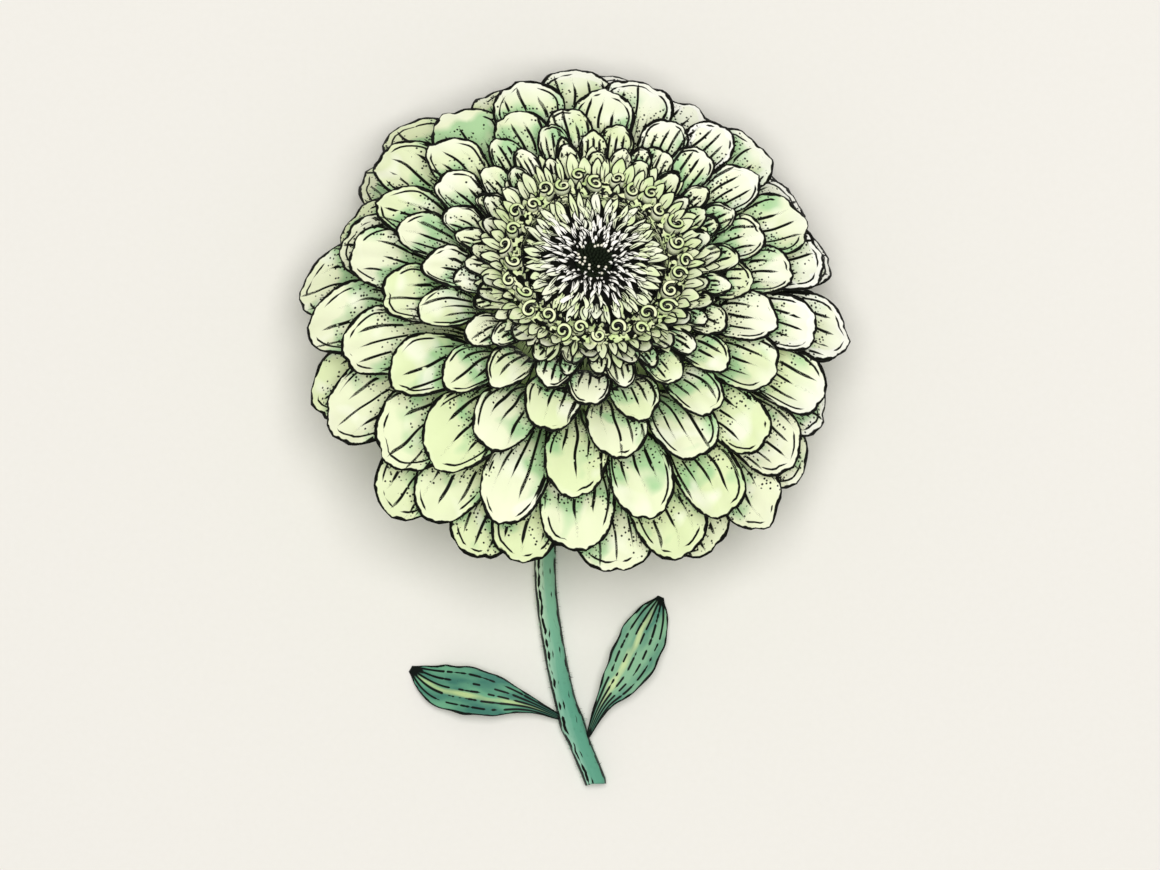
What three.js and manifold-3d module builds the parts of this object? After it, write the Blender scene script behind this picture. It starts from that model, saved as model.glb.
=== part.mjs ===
// A cut double zinnia, lying face up on a table: a domed head of overlapping ray petals round an
// eye of fine florets, a scaly cup behind it, and a bent stem with one pair of leaves.
// Millimetres. +Z is up, +Y runs from the cut end of the stem towards the head, and the origin is
// on the table under the middle of the flower's box.
import * as THREE from "three";
import { mergeVertices } from "three/addons/utils/BufferGeometryUtils.js";
import Module from "manifold-3d";

const wasm = await Module();
wasm.setup();

// Driving dimensions of the head, in its own frame: Z is the flower's axis, and height 0 is the rim.
const RIM_RADIUS = 48;
const CROWN_HEIGHT = 30.5;
const INNER_REACH = 23.5; // how far the tips of the innermost petals reach from the axis
const LAST_TURN = THREE.MathUtils.degToRad(100); // the outermost tips droop past the rim
const PETAL_COUNT = 120;
const RIM_START = 0.8; // the petals after this share of them all are crowded at the rim
const RIM_PLACE = 0.86; // where those start, from 0 beside the eye to 1 at the rim
const SMALL_PLACE = 0.12; // petals nearer the eye than this are cut into fewer rows
const YOUNG_COUNT = 28; // the smallest petals, right outside the eye
const GOLDEN_ANGLE = Math.PI * (3 - Math.sqrt(5));
const FIRST_PETAL = THREE.MathUtils.degToRad(285); // so that tips meet the table on both sides
const PETAL_WIDTH = { inner: 4.8, outer: 14.8 };
const PETAL_THICKNESS = 0.9;
const PETAL_CUP = 0.12; // height of the raised margins, as a share of the petal's width

// How the head lies: it leans back from straight up, towards the far side and a little right.
const HEAD_LEAN = THREE.MathUtils.degToRad(27);
const LEAN_HEADING = THREE.MathUtils.degToRad(13); // from +Y towards +X
const RIM_HEIGHT = 19.6; // of the middle of the rim over the table

// The eye: a ring of rolled florets round pale chaff, with a dark middle.
const SEAT_HEIGHT = 23.7; // top of the receptacle, which the eye sits on
const JOINT_GAP = 0.3; // between solids that touch
const EYE_HEIGHT = 29.4;
const DARK_RADIUS = 3.4;
const DARK_FOOT = 27; // floor of the hole the dark middle stands in
const BUD_COUNT = 24;
const CHAFF_COUNT = 120;
const CHAFF_REACH = 12.4; // tips of the outermost chaff
const CURL_COUNT = 29;
const CURL_RING = 15.1;
const CURL_RADIUS = 1.5;
const CURL_THICKNESS = 0.6;

// Behind the head: the cup of scales and the stem.
const CUP_TOP = -4.3;
const CUP_BOTTOM = -14;
const SCALES_PER_TIER = 8;
const STEM_RADIUS = 1.95;
const NECK_RADIUS = 2.5;
const STEM_SIDES = 12;
const STEM_STEPS = 26;

const LEAF_WIDTH = 8.8;
const LEAF_THICKNESS = 1;

// A number from -1 to 1 that looks random and is the same for the same i and k on every run.
function scatter(i, k) {
  const wave = Math.sin(i * 12.9898 + k * 78.233) * 43758.5453;
  return 2 * (wave - Math.floor(wave)) - 1;
}

function mix(a, b, share) {
  return a + (b - a) * share;
}

const headPose = new THREE.Matrix4()
  .makeTranslation(0, 0, RIM_HEIGHT)
  .multiply(new THREE.Matrix4().makeRotationZ(-LEAN_HEADING))
  .multiply(new THREE.Matrix4().makeRotationX(-HEAD_LEAN));

// Points on the head are given by distance from the axis, angle round it and height above the rim.
function onHead(radius, angle, height) {
  return new THREE.Vector3(radius * Math.cos(angle), radius * Math.sin(angle), height);
}

// A closed solid from a geometry whose faces meet all round.
function solidFrom(geometry) {
  const bare = geometry.clone();
  bare.deleteAttribute("normal");
  bare.deleteAttribute("uv");
  const merged = mergeVertices(bare, 1e-4);
  const mesh = new wasm.Mesh({
    numProp: 3,
    vertProperties: new Float32Array(merged.attributes.position.array),
    triVerts: new Uint32Array(merged.index.array),
  });
  return new wasm.Manifold(mesh);
}

function geometryFrom(solid) {
  const mesh = solid.getMesh();
  const geometry = new THREE.BufferGeometry();
  const positions = new Float32Array(mesh.vertProperties);
  geometry.setAttribute("position", new THREE.BufferAttribute(positions, 3));
  geometry.setIndex(new THREE.BufferAttribute(new Uint32Array(mesh.triVerts), 1));
  const faceted = geometry.toNonIndexed();
  faceted.computeVertexNormals();
  return faceted;
}

// Everything fused into the first solid.
function fuse(solids) {
  return solids.reduce((whole, next) => whole.add(next));
}

function indexedGeometry(points, triangles) {
  const geometry = new THREE.BufferGeometry();
  const positions = points.flatMap((p) => p.toArray());
  geometry.setAttribute("position", new THREE.Float32BufferAttribute(positions, 3));
  geometry.setIndex(triangles);
  return geometry;
}

// A thin blade from rows of points that run from its root to its tip. A row is left to right, each
// entry {top, bottom}, and its two margins have one point for both. Both faces are cut into
// triangles alike. The last row has one point for top and bottom all the way across.
function bladeSolid(rows) {
  const across = rows[0].length;
  const topOf = (r, c) => (r * across + c) * 2;
  const bottomOf = (r, c) => topOf(r, c) + 1;
  const triangles = [];
  for (let r = 0; r + 1 < rows.length; r++) {
    for (let c = 0; c + 1 < across; c++) {
      triangles.push(topOf(r, c), topOf(r, c + 1), topOf(r + 1, c + 1));
      triangles.push(topOf(r, c), topOf(r + 1, c + 1), topOf(r + 1, c));
      triangles.push(bottomOf(r, c), bottomOf(r + 1, c + 1), bottomOf(r, c + 1));
      triangles.push(bottomOf(r, c), bottomOf(r + 1, c), bottomOf(r + 1, c + 1));
    }
  }
  for (let c = 0; c + 1 < across; c++) {
    triangles.push(topOf(0, c), bottomOf(0, c), bottomOf(0, c + 1));
    triangles.push(topOf(0, c), bottomOf(0, c + 1), topOf(0, c + 1));
  }
  const points = rows.flatMap((row) => row.flatMap(({ top, bottom }) => [top, bottom]));
  const merged = mergeVertices(indexedGeometry(points, triangles), 1e-4);
  const kept = [];
  const index = merged.index.array;
  for (let i = 0; i < index.length; i += 3) {
    const [a, b, c] = [index[i], index[i + 1], index[i + 2]];
    if (a !== b && b !== c && c !== a) kept.push(a, b, c);
  }
  merged.setIndex(kept);
  return solidFrom(merged);
}

function latheSolid(profile, sides) {
  const points = profile.map(([radius, height]) => new THREE.Vector2(radius, height));
  const turned = new THREE.LatheGeometry(points, sides);
  turned.rotateX(Math.PI / 2); // lathes turn about Y, and the head's axis is Z
  return solidFrom(turned);
}

// Ray petals. Each lies on its own surface of revolution, and the surfaces nest, so that petals
// overlap like shingles without cutting into each other. The last ones crowd at the rim, where
// they fill the gaps between those before them.
function petalPlace(i) {
  const order = (i + 0.5) / PETAL_COUNT;
  const share = order / RIM_START;
  const spread = RIM_PLACE * share ** 2 * (1.45 - 0.45 * share);
  const crowded = mix(RIM_PLACE, 1, (order - RIM_START) / (1 - RIM_START));
  const place = order < RIM_START ? spread : crowded; // 0 beside the eye, 1 at the rim
  const turn = place * LAST_TURN;
  const reach = mix(INNER_REACH, RIM_RADIUS, Math.sin(turn));
  const tip = new THREE.Vector2(reach, CROWN_HEIGHT * Math.cos(turn));
  const root = new THREE.Vector2(
    14.8 + 22 * place - 26 * place * place,
    20 - 25 * place + 2 * place * place,
  );
  const length = tip.distanceTo(root) * (1 + 0.035 * scatter(i, 2));
  tip.sub(root).setLength(length).add(root);
  const slope = 6 - 48 * place + 8 * Math.exp(-12 * place) + 3 * scatter(i, 1);
  const rise = THREE.MathUtils.degToRad(slope);
  const bend = new THREE.Vector2(Math.cos(rise), Math.sin(rise)).multiplyScalar(-0.6 * length).add(tip);
  const width = mix(PETAL_WIDTH.outer, PETAL_WIDTH.inner, Math.exp(-4.6 * place));
  return {
    spine: new THREE.QuadraticBezierCurve(root, bend, tip),
    rows: place < SMALL_PLACE ? SMALL_ROWS : PETAL_ROWS,
    angle: FIRST_PETAL + i * GOLDEN_ANGLE + 0.04 * scatter(i, 3),
    width: width * (1 + 0.07 * scatter(i, 4)),
    roll: 0.05 * scatter(i, 5),
    point: 1 + 0.02 * scatter(i, 6), // below 1 the tip is notched, above 1 it is pointed
  };
}

// The smallest petals stand nearly upright in the gap between the eye and the open ones.
function youngPlace(i) {
  const row = i % 2;
  const nod = 0.5 + 0.5 * scatter(i, 21);
  const root = new THREE.Vector2(13.6, 20.6);
  const bend = new THREE.Vector2(17.8 + 0.8 * row, 28.9);
  const tip = new THREE.Vector2(20.3 + 1.6 * row + 0.8 * nod, 30.9 + 0.4 * nod);
  return {
    spine: new THREE.QuadraticBezierCurve(root, bend, tip),
    rows: SMALL_ROWS,
    angle: ((i + 0.3 * scatter(i, 22)) / YOUNG_COUNT) * 2 * Math.PI,
    width: 3.8 + 0.6 * row + 0.5 * scatter(i, 23),
    roll: 0.1 * scatter(i, 24),
    point: 1,
  };
}

// Half width along a petal, as a share of its widest: a narrow claw, then a broad round blade.
const PETAL_ROWS = [
  { along: 0, half: 0.28 },
  { along: 0.45, half: 0.57 },
  { along: 0.7, half: 0.95 },
  { along: 0.86, half: 0.91 },
  { along: 0.95, half: 0.62 },
  { along: 1, half: 0.2 },
];
const SMALL_ROWS = [
  { along: 0, half: 0.4 },
  { along: 0.64, half: 0.92 },
  { along: 0.9, half: 0.78 },
  { along: 1, half: 0.2 },
];

function petalPoint(petal, along, across, half, thickness) {
  const p = petal.spine.getPoint(along);
  const t = petal.spine.getTangent(along);
  const side = (across * half * petal.width) / 2;
  const cup = petal.width * PETAL_CUP * (half * across) ** 2;
  const lift = cup + petal.roll * side + thickness;
  return onHead(p.x - t.y * lift, petal.angle + side / p.x, p.y + t.x * lift);
}

// A petal that would reach through the table lies along it instead.
function settled(point, depth) {
  if (point.z >= depth) return point;
  const drop = depth - point.z;
  const outwards = new THREE.Vector3(point.x, point.y, 0).normalize();
  point.addScaledVector(outwards, 0.6 * drop);
  point.z = depth;
  return point;
}

function petalSolid(petal) {
  const place = (along, across, half, thickness, depth) =>
    settled(petalPoint(petal, along, across, half, thickness).applyMatrix4(headPose), depth);
  const margin = (along, across, half) => {
    const p = place(along, across, half, 0, 0);
    return { top: p, bottom: p };
  };
  const middle = (along) => ({
    top: place(along, 0, 0, PETAL_THICKNESS / 2, 0.8 * PETAL_THICKNESS),
    bottom: place(along, 0, 0, -PETAL_THICKNESS / 2, 0),
  });
  const rows = petal.rows.map(({ along, half }) => {
    const centre = along < 1 ? middle(along) : margin(petal.point, 0, 0);
    return [margin(along, 1, half), centre, margin(along, -1, half)];
  });
  return bladeSolid(rows);
}

function rayPetals() {
  const receptacle = latheSolid(
    [
      [0, -4],
      [12, -4],
      [14, -2],
      [22, 5],
      [20.5, 11],
      [16.5, 19],
      [14.2, SEAT_HEIGHT],
      [0, SEAT_HEIGHT],
    ],
    20,
  ).transform(headPose.elements);
  const open = Array.from({ length: PETAL_COUNT }, (_, i) => petalSolid(petalPlace(i)));
  const young = Array.from({ length: YOUNG_COUNT }, (_, i) => petalSolid(youngPlace(i)));
  return fuse([receptacle, ...open, ...young]);
}

// The eye's chaff and buds are slim three-sided spikes, thick at the foot.
function spikeSolid(foot, tip, radius) {
  const axis = tip.clone().sub(foot).normalize();
  const turn = new THREE.Quaternion().setFromUnitVectors(new THREE.Vector3(0, 1, 0), axis);
  const cone = new THREE.ConeGeometry(radius, tip.distanceTo(foot), 3);
  cone.applyQuaternion(turn);
  cone.translate(...tip.clone().add(foot).multiplyScalar(0.5).toArray());
  return solidFrom(cone);
}

function eyeHeightAt(radius) {
  return EYE_HEIGHT - 1.4 * (radius / CHAFF_REACH) ** 2;
}

// Chaff: nearly upright beside the dark middle, lying outwards at the ring.
function discChaff() {
  const well = DARK_RADIUS + JOINT_GAP;
  const edge = CHAFF_REACH + 0.2;
  const dome = latheSolid(
    [
      [0, SEAT_HEIGHT + JOINT_GAP],
      [edge, SEAT_HEIGHT + JOINT_GAP],
      [edge, 26.6],
      [10.2, eyeHeightAt(10.2)],
      [7, eyeHeightAt(7)],
      [well, eyeHeightAt(well)],
      [well, DARK_FOOT],
      [0, DARK_FOOT],
    ],
    24,
  );
  const spikes = Array.from({ length: CHAFF_COUNT }, (_, i) => {
    const share = (i + 0.5) / CHAFF_COUNT;
    const radius = Math.sqrt(mix((well + 0.9) ** 2, 9.4 ** 2, share));
    const angle = i * GOLDEN_ANGLE + 0.05 * scatter(i, 7);
    const length = mix(2, 4.6, share) * (1 + 0.15 * scatter(i, 8));
    const lean = THREE.MathUtils.degToRad(mix(14, 66, share));
    const reach = Math.min(radius + length * Math.sin(lean), CHAFF_REACH);
    const height = eyeHeightAt(radius) + 0.7 * length * Math.cos(lean);
    const foot = onHead(radius, angle, eyeHeightAt(radius) - 0.8);
    const tip = onHead(reach, angle + 0.05 * scatter(i, 9), height);
    return spikeSolid(foot, tip, 0.62);
  });
  return fuse([dome, ...spikes]).transform(headPose.elements);
}

function darkEye() {
  const cap = latheSolid(
    [
      [0, DARK_FOOT + JOINT_GAP],
      [DARK_RADIUS, DARK_FOOT + JOINT_GAP],
      [DARK_RADIUS, EYE_HEIGHT - 0.5],
      [DARK_RADIUS * 0.6, EYE_HEIGHT - 0.1],
      [0, EYE_HEIGHT],
    ],
    24,
  );
  const buds = Array.from({ length: BUD_COUNT }, (_, i) => {
    const radius = 0.8 * DARK_RADIUS * Math.sqrt((i + 0.5) / BUD_COUNT);
    const angle = i * GOLDEN_ANGLE;
    const foot = onHead(radius, angle, EYE_HEIGHT - 1);
    const tip = onHead(radius * 1.06, angle, EYE_HEIGHT + 0.75 + 0.2 * scatter(i, 10));
    return spikeSolid(foot, tip, 0.6);
  });
  return fuse([cap, ...buds]).transform(headPose.elements);
}

// A rolled floret: a ribbon wound inwards for a little over one turn, standing on end.
function curlGeometry(radius, height) {
  const segments = 7;
  const turns = 1.15;
  const rail = (offset) =>
    Array.from({ length: segments + 1 }, (_, k) => {
      const share = k / segments;
      const r = mix(radius, 0.3 * radius, share) + offset;
      const angle = share * turns * 2 * Math.PI;
      return new THREE.Vector2(r * Math.cos(angle), r * Math.sin(angle));
    });
  const outer = rail(CURL_THICKNESS / 2);
  const inner = rail(-CURL_THICKNESS / 2).reverse();
  const outline = new THREE.Shape([...outer, ...inner]);
  return new THREE.ExtrudeGeometry(outline, { depth: height, bevelEnabled: false });
}

function curledFlorets() {
  const inside = CHAFF_REACH + 0.2 + JOINT_GAP;
  const base = latheSolid(
    [
      [inside, SEAT_HEIGHT + JOINT_GAP],
      [14.4, SEAT_HEIGHT + JOINT_GAP],
      [15.4, 26],
      [16.5, 28.2],
      [inside, 28.2],
      [inside, SEAT_HEIGHT + JOINT_GAP],
    ],
    24,
  );
  const curls = Array.from({ length: CURL_COUNT }, (_, i) => {
    const row = i % 2 ? 1 : -1;
    const angle = ((i + 0.16 * scatter(i, 11)) / CURL_COUNT) * 2 * Math.PI;
    const radius = CURL_RADIUS * (1 + 0.06 * scatter(i, 12));
    const curl = curlGeometry(radius, 3.4 + 0.4 * scatter(i, 13))
      .rotateZ(Math.PI * scatter(i, 14))
      .rotateY(THREE.MathUtils.degToRad(6 + 3 * row))
      .translate(CURL_RING + 0.45 * row, 0, 27.9)
      .rotateZ(angle);
    return solidFrom(curl);
  });
  return fuse([base, ...curls]).transform(headPose.elements);
}

// The cup behind the petals: a bell whose outside is covered by three tiers of blunt scales.
const cupOutline = new THREE.SplineCurve([
  new THREE.Vector2(3, CUP_BOTTOM),
  new THREE.Vector2(6.6, -12.6),
  new THREE.Vector2(10.2, -9.2),
  new THREE.Vector2(11.9, CUP_TOP),
]);

function scalePoint(angle, down, across, proud) {
  const p = cupOutline.getPoint(down);
  const t = cupOutline.getTangent(down);
  const side = (across * 2 * Math.PI) / SCALES_PER_TIER;
  return onHead(p.x + t.y * proud, angle + side, p.y - t.x * proud);
}

function scaleSolid(tier, i) {
  const angle = ((i + 0.5 * tier) / SCALES_PER_TIER) * 2 * Math.PI;
  const start = 0.2 + 0.25 * tier;
  const rows = [
    { along: 0, half: 0.5, proud: -0.3 },
    { along: 0.2, half: 0.55, proud: 0.9 },
    { along: 0.3, half: 0.24, proud: 1 },
  ].map(({ along, half, proud }, row) => {
    const down = Math.min(start + along, 0.97);
    const margin = (across) => {
      const p = scalePoint(angle, down, across, proud - 0.5);
      return { top: p, bottom: p };
    };
    const back = scalePoint(angle, down, 0, proud - 1.2);
    const front = row < 2 ? scalePoint(angle, down, 0, proud) : back;
    return [margin(-half), { top: front, bottom: back }, margin(half)];
  });
  return bladeSolid(rows);
}

function scaleCup() {
  const outline = cupOutline.getPoints(5).map((p) => [p.x, p.y]);
  const bell = latheSolid([[0, CUP_BOTTOM], ...outline, [0, CUP_TOP]], 16);
  const scales = [0, 1, 2].flatMap((tier) =>
    Array.from({ length: SCALES_PER_TIER }, (_, i) => scaleSolid(tier, i)),
  );
  return fuse([bell, ...scales]).transform(headPose.elements);
}

// The stem leaves the cup along the flower's axis, bends at the neck and lies along the table.
const NECK_TOP = CUP_BOTTOM - JOINT_GAP;

function neckPoint(slope) {
  const bendRadius = 6.8;
  const steepest = Math.PI / 2 - HEAD_LEAN;
  const forward = bendRadius * (Math.sin(steepest) - Math.sin(slope));
  const drop = bendRadius * (Math.cos(slope) - Math.cos(steepest));
  const start = onHead(0, 0, NECK_TOP - 0.8).applyMatrix4(headPose);
  start.x -= forward * Math.sin(LEAN_HEADING);
  start.y -= forward * Math.cos(LEAN_HEADING);
  start.z -= drop;
  return start;
}

const stemEnd = new THREE.Vector3(3.4, -81.6, 1.85);
const stemPath = new THREE.CatmullRomCurve3([
  onHead(0, 0, NECK_TOP).applyMatrix4(headPose),
  neckPoint(Math.PI / 2 - HEAD_LEAN),
  neckPoint(THREE.MathUtils.degToRad(42)),
  neckPoint(THREE.MathUtils.degToRad(21)),
  neckPoint(0),
  new THREE.Vector3(-5.1, -28, 2.4),
  new THREE.Vector3(-5.9, -43.3, 2.3),
  new THREE.Vector3(-4.5, -55.7, 2.3),
  new THREE.Vector3(-1.7, -68.4, 2.2),
  stemEnd,
]);

function stemRadius(along) {
  const neckSwell = (NECK_RADIUS - STEM_RADIUS) * Math.exp(-along * 9);
  const jointSwell = 0.35 * Math.exp(-(((along - 0.85) / 0.03) ** 2));
  return STEM_RADIUS + neckSwell + jointSwell;
}

function stemSolid(extra) {
  const frames = stemPath.computeFrenetFrames(STEM_STEPS, false);
  const points = [];
  for (let k = 0; k <= STEM_STEPS; k++) {
    const along = k / STEM_STEPS;
    const radius = stemRadius(along) + extra;
    for (let s = 0; s < STEM_SIDES; s++) {
      const angle = (s / STEM_SIDES) * 2 * Math.PI;
      const p = stemPath
        .getPointAt(along)
        .addScaledVector(frames.normals[k], radius * Math.cos(angle))
        .addScaledVector(frames.binormals[k], radius * Math.sin(angle));
      p.z = Math.max(p.z, 0);
      if (k === STEM_STEPS) p.y = stemEnd.y; // cut straight across the flower's length
      points.push(p);
    }
  }
  const at = (k, s) => k * STEM_SIDES + (s % STEM_SIDES);
  const triangles = [];
  for (let k = 0; k < STEM_STEPS; k++) {
    for (let s = 0; s < STEM_SIDES; s++) {
      triangles.push(at(k, s), at(k, s + 1), at(k + 1, s + 1));
      triangles.push(at(k, s), at(k + 1, s + 1), at(k + 1, s));
    }
  }
  for (let s = 1; s + 1 < STEM_SIDES; s++) {
    triangles.push(at(0, 0), at(0, s + 1), at(0, s));
    triangles.push(at(STEM_STEPS, 0), at(STEM_STEPS, s), at(STEM_STEPS, s + 1));
  }
  return solidFrom(indexedGeometry(points, triangles));
}

// A leaf along a line of points: a narrow foot, a broad blade folded a little along its midrib,
// waved margins, and a tip that rests on the table.
const LEAF_ROWS = [
  { along: 0, half: 0.18 },
  { along: 0.12, half: 0.2 },
  { along: 0.24, half: 0.37 },
  { along: 0.36, half: 0.68 },
  { along: 0.48, half: 0.92 },
  { along: 0.6, half: 1 },
  { along: 0.73, half: 0.95 },
  { along: 0.84, half: 0.76 },
  { along: 0.92, half: 0.48 },
  { along: 0.97, half: 0.18 },
  { along: 1, half: 0.03 },
];

function leafSolid(line, phase) {
  const path = new THREE.CatmullRomCurve3(line);
  const rows = LEAF_ROWS.map(({ along, half }) => {
    const centre = path.getPointAt(along);
    const ahead = path.getTangentAt(along);
    const side = new THREE.Vector3(-ahead.y, ahead.x, 0).normalize();
    const up = new THREE.Vector3().crossVectors(ahead, side);
    const reach = (half * LEAF_WIDTH) / 2;
    const place = (across, thickness) => {
      const wave = 0.35 * Math.sin(along * 13 + phase + across) * half;
      const lift = (0.2 * reach + wave) * across ** 2 + thickness;
      const p = centre.clone().addScaledVector(side, across * reach).addScaledVector(up, lift);
      p.z = Math.max(p.z, thickness, 0);
      return p;
    };
    return [1, 0.5, 0, -0.5, -1].map((across) => {
      const thin = Math.abs(across) === 1 || along === 1;
      const thickness = thin ? 0 : (LEAF_THICKNESS / 2) * (1 - 0.4 * Math.abs(across));
      return { top: place(across, thickness), bottom: place(across, -thickness) };
    });
  });
  return bladeSolid(rows).subtract(stemSolid(JOINT_GAP));
}

const LEFT_LEAF_LINE = [
  new THREE.Vector3(-2.1, -70, 2.6),
  new THREE.Vector3(-8.7, -67.2, 3.8),
  new THREE.Vector3(-17.8, -65, 4.2),
  new THREE.Vector3(-25.2, -63.6, 2.2),
  new THREE.Vector3(-30.4, -60.8, 0),
];

const RIGHT_LEAF_LINE = [
  new THREE.Vector3(1.9, -73.6, 2.6),
  new THREE.Vector3(4.4, -67.5, 4),
  new THREE.Vector3(9.2, -60.6, 4.4),
  new THREE.Vector3(12.7, -53.4, 2.6),
  new THREE.Vector3(15.2, -47.7, 0),
];

const flower = new THREE.Group();

function addPart(name, solid, colour, roughness) {
  const material = new THREE.MeshStandardMaterial({ color: colour, roughness, metalness: 0 });
  const mesh = new THREE.Mesh(geometryFrom(solid), material);
  mesh.name = name;
  flower.add(mesh);
}

addPart("ray_petals", rayPetals(), 0xcfe093, 0.6);
addPart("disc_chaff", discChaff(), 0xf1ecc6, 0.7);
addPart("curled_florets", curledFlorets(), 0xdbe6a4, 0.6);
addPart("dark_eye", darkEye(), 0x1c2418, 0.8);
addPart("scale_cup", scaleCup(), 0x7ba562, 0.6);
addPart("stem", stemSolid(0), 0x62997f, 0.55);
addPart("leaf_left", leafSolid(LEFT_LEAF_LINE, 0), 0x5b9480, 0.55);
addPart("leaf_right", leafSolid(RIGHT_LEAF_LINE, 2), 0x5b9480, 0.55);

// So far X and Y started under the middle of the rim. They move to the middle of the whole box.
const box = new THREE.Box3().setFromObject(flower);
const middle = box.getCenter(new THREE.Vector3());
flower.children.forEach((mesh) => mesh.geometry.translate(-middle.x, -middle.y, -box.min.z));

export default flower;
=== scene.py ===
# A cut double zinnia lying face up on a pale table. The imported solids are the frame, and finer
# pieces grown by the same rules stand for them. The flower is green all through: pale lime petals
# with thin dark margins and veins, as if drawn with a pen and washed with watercolour.
# The flower's lengths are in millimetres and become metres when a mesh is made. Table, lamp and
# camera are in metres.
import math

import bpy
import numpy as np
from mathutils import Matrix, Vector
from mathutils.bvhtree import BVHTree


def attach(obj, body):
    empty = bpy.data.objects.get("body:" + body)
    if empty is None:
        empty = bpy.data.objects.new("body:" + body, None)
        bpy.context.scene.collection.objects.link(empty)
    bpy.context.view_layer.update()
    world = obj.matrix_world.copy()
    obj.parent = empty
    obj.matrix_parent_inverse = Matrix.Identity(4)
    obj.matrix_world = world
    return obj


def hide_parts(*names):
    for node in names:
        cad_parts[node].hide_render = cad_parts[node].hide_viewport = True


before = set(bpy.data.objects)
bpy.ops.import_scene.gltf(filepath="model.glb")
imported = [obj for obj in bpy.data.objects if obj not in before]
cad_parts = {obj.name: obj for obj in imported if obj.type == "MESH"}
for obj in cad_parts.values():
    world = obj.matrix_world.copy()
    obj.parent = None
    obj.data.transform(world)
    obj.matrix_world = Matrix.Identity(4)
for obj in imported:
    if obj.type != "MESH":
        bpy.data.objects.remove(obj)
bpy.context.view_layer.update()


# The table: a plain sheet of warm white card that the flower lies on. It is uncoated and matt, so
# that it only takes a soft shadow. Three functions that the finishes below use too come first.
def linear(colour):
    """An sRGB hex colour as linear red, green, blue and alpha."""
    parts = [int(colour[k:k + 2], 16) / 255 for k in (1, 3, 5)]
    return tuple(c / 12.92 if c <= 0.04045 else ((c + 0.055) / 1.055) ** 2.4 for c in parts) + (1.0,)


def node(tree, kind, inputs=None, out=0, **settings):
    """Adds a node. inputs gives its sockets values or the sockets they are linked from."""
    made = tree.nodes.new("ShaderNode" + kind)
    for name, value in settings.items():
        setattr(made, name, value)
    for socket, value in (inputs or {}).items():
        if isinstance(value, bpy.types.NodeSocket):
            tree.links.new(value, made.inputs[socket])
        else:
            made.inputs[socket].default_value = value
    return made.outputs[out] if len(made.outputs) else None


def finish_of(name):
    """A new material and its node tree, which is empty."""
    material = bpy.data.materials.new(name)
    material.use_nodes = True
    material.node_tree.nodes.clear()
    return material, material.node_tree


TABLE_REACH = 2.0
table_mesh = bpy.data.meshes.new("table")
corners = [(x * TABLE_REACH, y * TABLE_REACH, 0) for x, y in ((-1, -1), (1, -1), (1, 1), (-1, 1))]
table_mesh.from_pydata(corners, [], [(0, 1, 2, 3)])
table = bpy.data.objects.new("table", table_mesh)
bpy.context.scene.collection.objects.link(table)

# Uncoated card is dull all over. Its faint tooth is drawn 1 mm wide, coarser than it is.
white_card, tree = finish_of("uncoated_white_card")
place = node(tree, "TexCoord", out="Object")
tooth = node(tree, "TexNoise", {"Vector": place, "Scale": 900.0, "Detail": 3.0})
shade = node(tree, "Mix", {0: tooth, 6: linear("#e8e5df"), 7: linear("#e5e2db")}, out=2, data_type="RGBA")
matt = node(tree, "BsdfPrincipled", {"Base Color": shade, "Roughness": 0.95, "Specular IOR Level": 0.1})
node(tree, "OutputMaterial", {"Surface": matt})
table_mesh.materials.append(white_card)

# The light of a bright studio: a pale room all round, and one wide soft lamp overhead, a little
# to the right and beyond the flower.
ROOM_STRENGTH = 0.38
LAMP_WIDTH = 0.7
LAMP_POWER = 14.1
LAMP_PLACE = (0.04, 0.07, 1.3)
world = bpy.data.worlds.new("studio")
bpy.context.scene.world = world
world.use_nodes = True
room = world.node_tree.nodes["Background"].inputs
room["Color"].default_value = linear("#fbfaf7")
room["Strength"].default_value = ROOM_STRENGTH
lamp_data = bpy.data.lights.new("soft_lamp", "AREA")
lamp_data.shape = "DISK"
lamp_data.size = LAMP_WIDTH
lamp_data.energy = LAMP_POWER
lamp = bpy.data.objects.new("soft_lamp", lamp_data)
lamp.location = LAMP_PLACE
lamp.rotation_mode = "QUATERNION"
lamp.rotation_quaternion = (-lamp.location).to_track_quat("-Z", "Y")
bpy.context.scene.collection.objects.link(lamp)
bpy.context.scene.view_settings.view_transform = "Standard"

# The camera looks straight down through a long lens, with the top of the picture towards +Y. Its
# view is VIEW_WIDTH wide at the height of the flower's rim. The sensor is in millimetres, as the
# lens is.
CAMERA_HEIGHT = 1.5196
RIM_DISTANCE = 1.5
VIEW_WIDTH = 0.2088
VIEW_MIDDLE = (0.00087, -0.00107)
SENSOR_WIDTH = 36
camera_data = bpy.data.cameras.new("camera")
camera_data.lens = SENSOR_WIDTH * RIM_DISTANCE / VIEW_WIDTH
camera_data.clip_start = 0.1
camera_data.clip_end = 10
camera = bpy.data.objects.new("camera", camera_data)
camera.location = (*VIEW_MIDDLE, CAMERA_HEIGHT)
bpy.context.scene.collection.objects.link(camera)
bpy.context.scene.camera = camera


# The ray petals: thin waxy blades in a spiral, each with a narrow claw sunk in the head and a
# broad round end. They lie like shingles from the eye down to the rim, the inner over the outer.
# They are pale lime, with jade blotches near the claw and a thin dark line round the margin.
PETAL_COUNT = 120
RIM_START = 0.8  # the share of the petals after which they crowd together at the rim
RIM_PLACE = 0.86  # where the crowded ones start, from 0 at the crown to 1 at the rim
GOLDEN_ANGLE = math.pi * (3 - math.sqrt(5))
FIRST_PETAL = math.radians(285)
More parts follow.
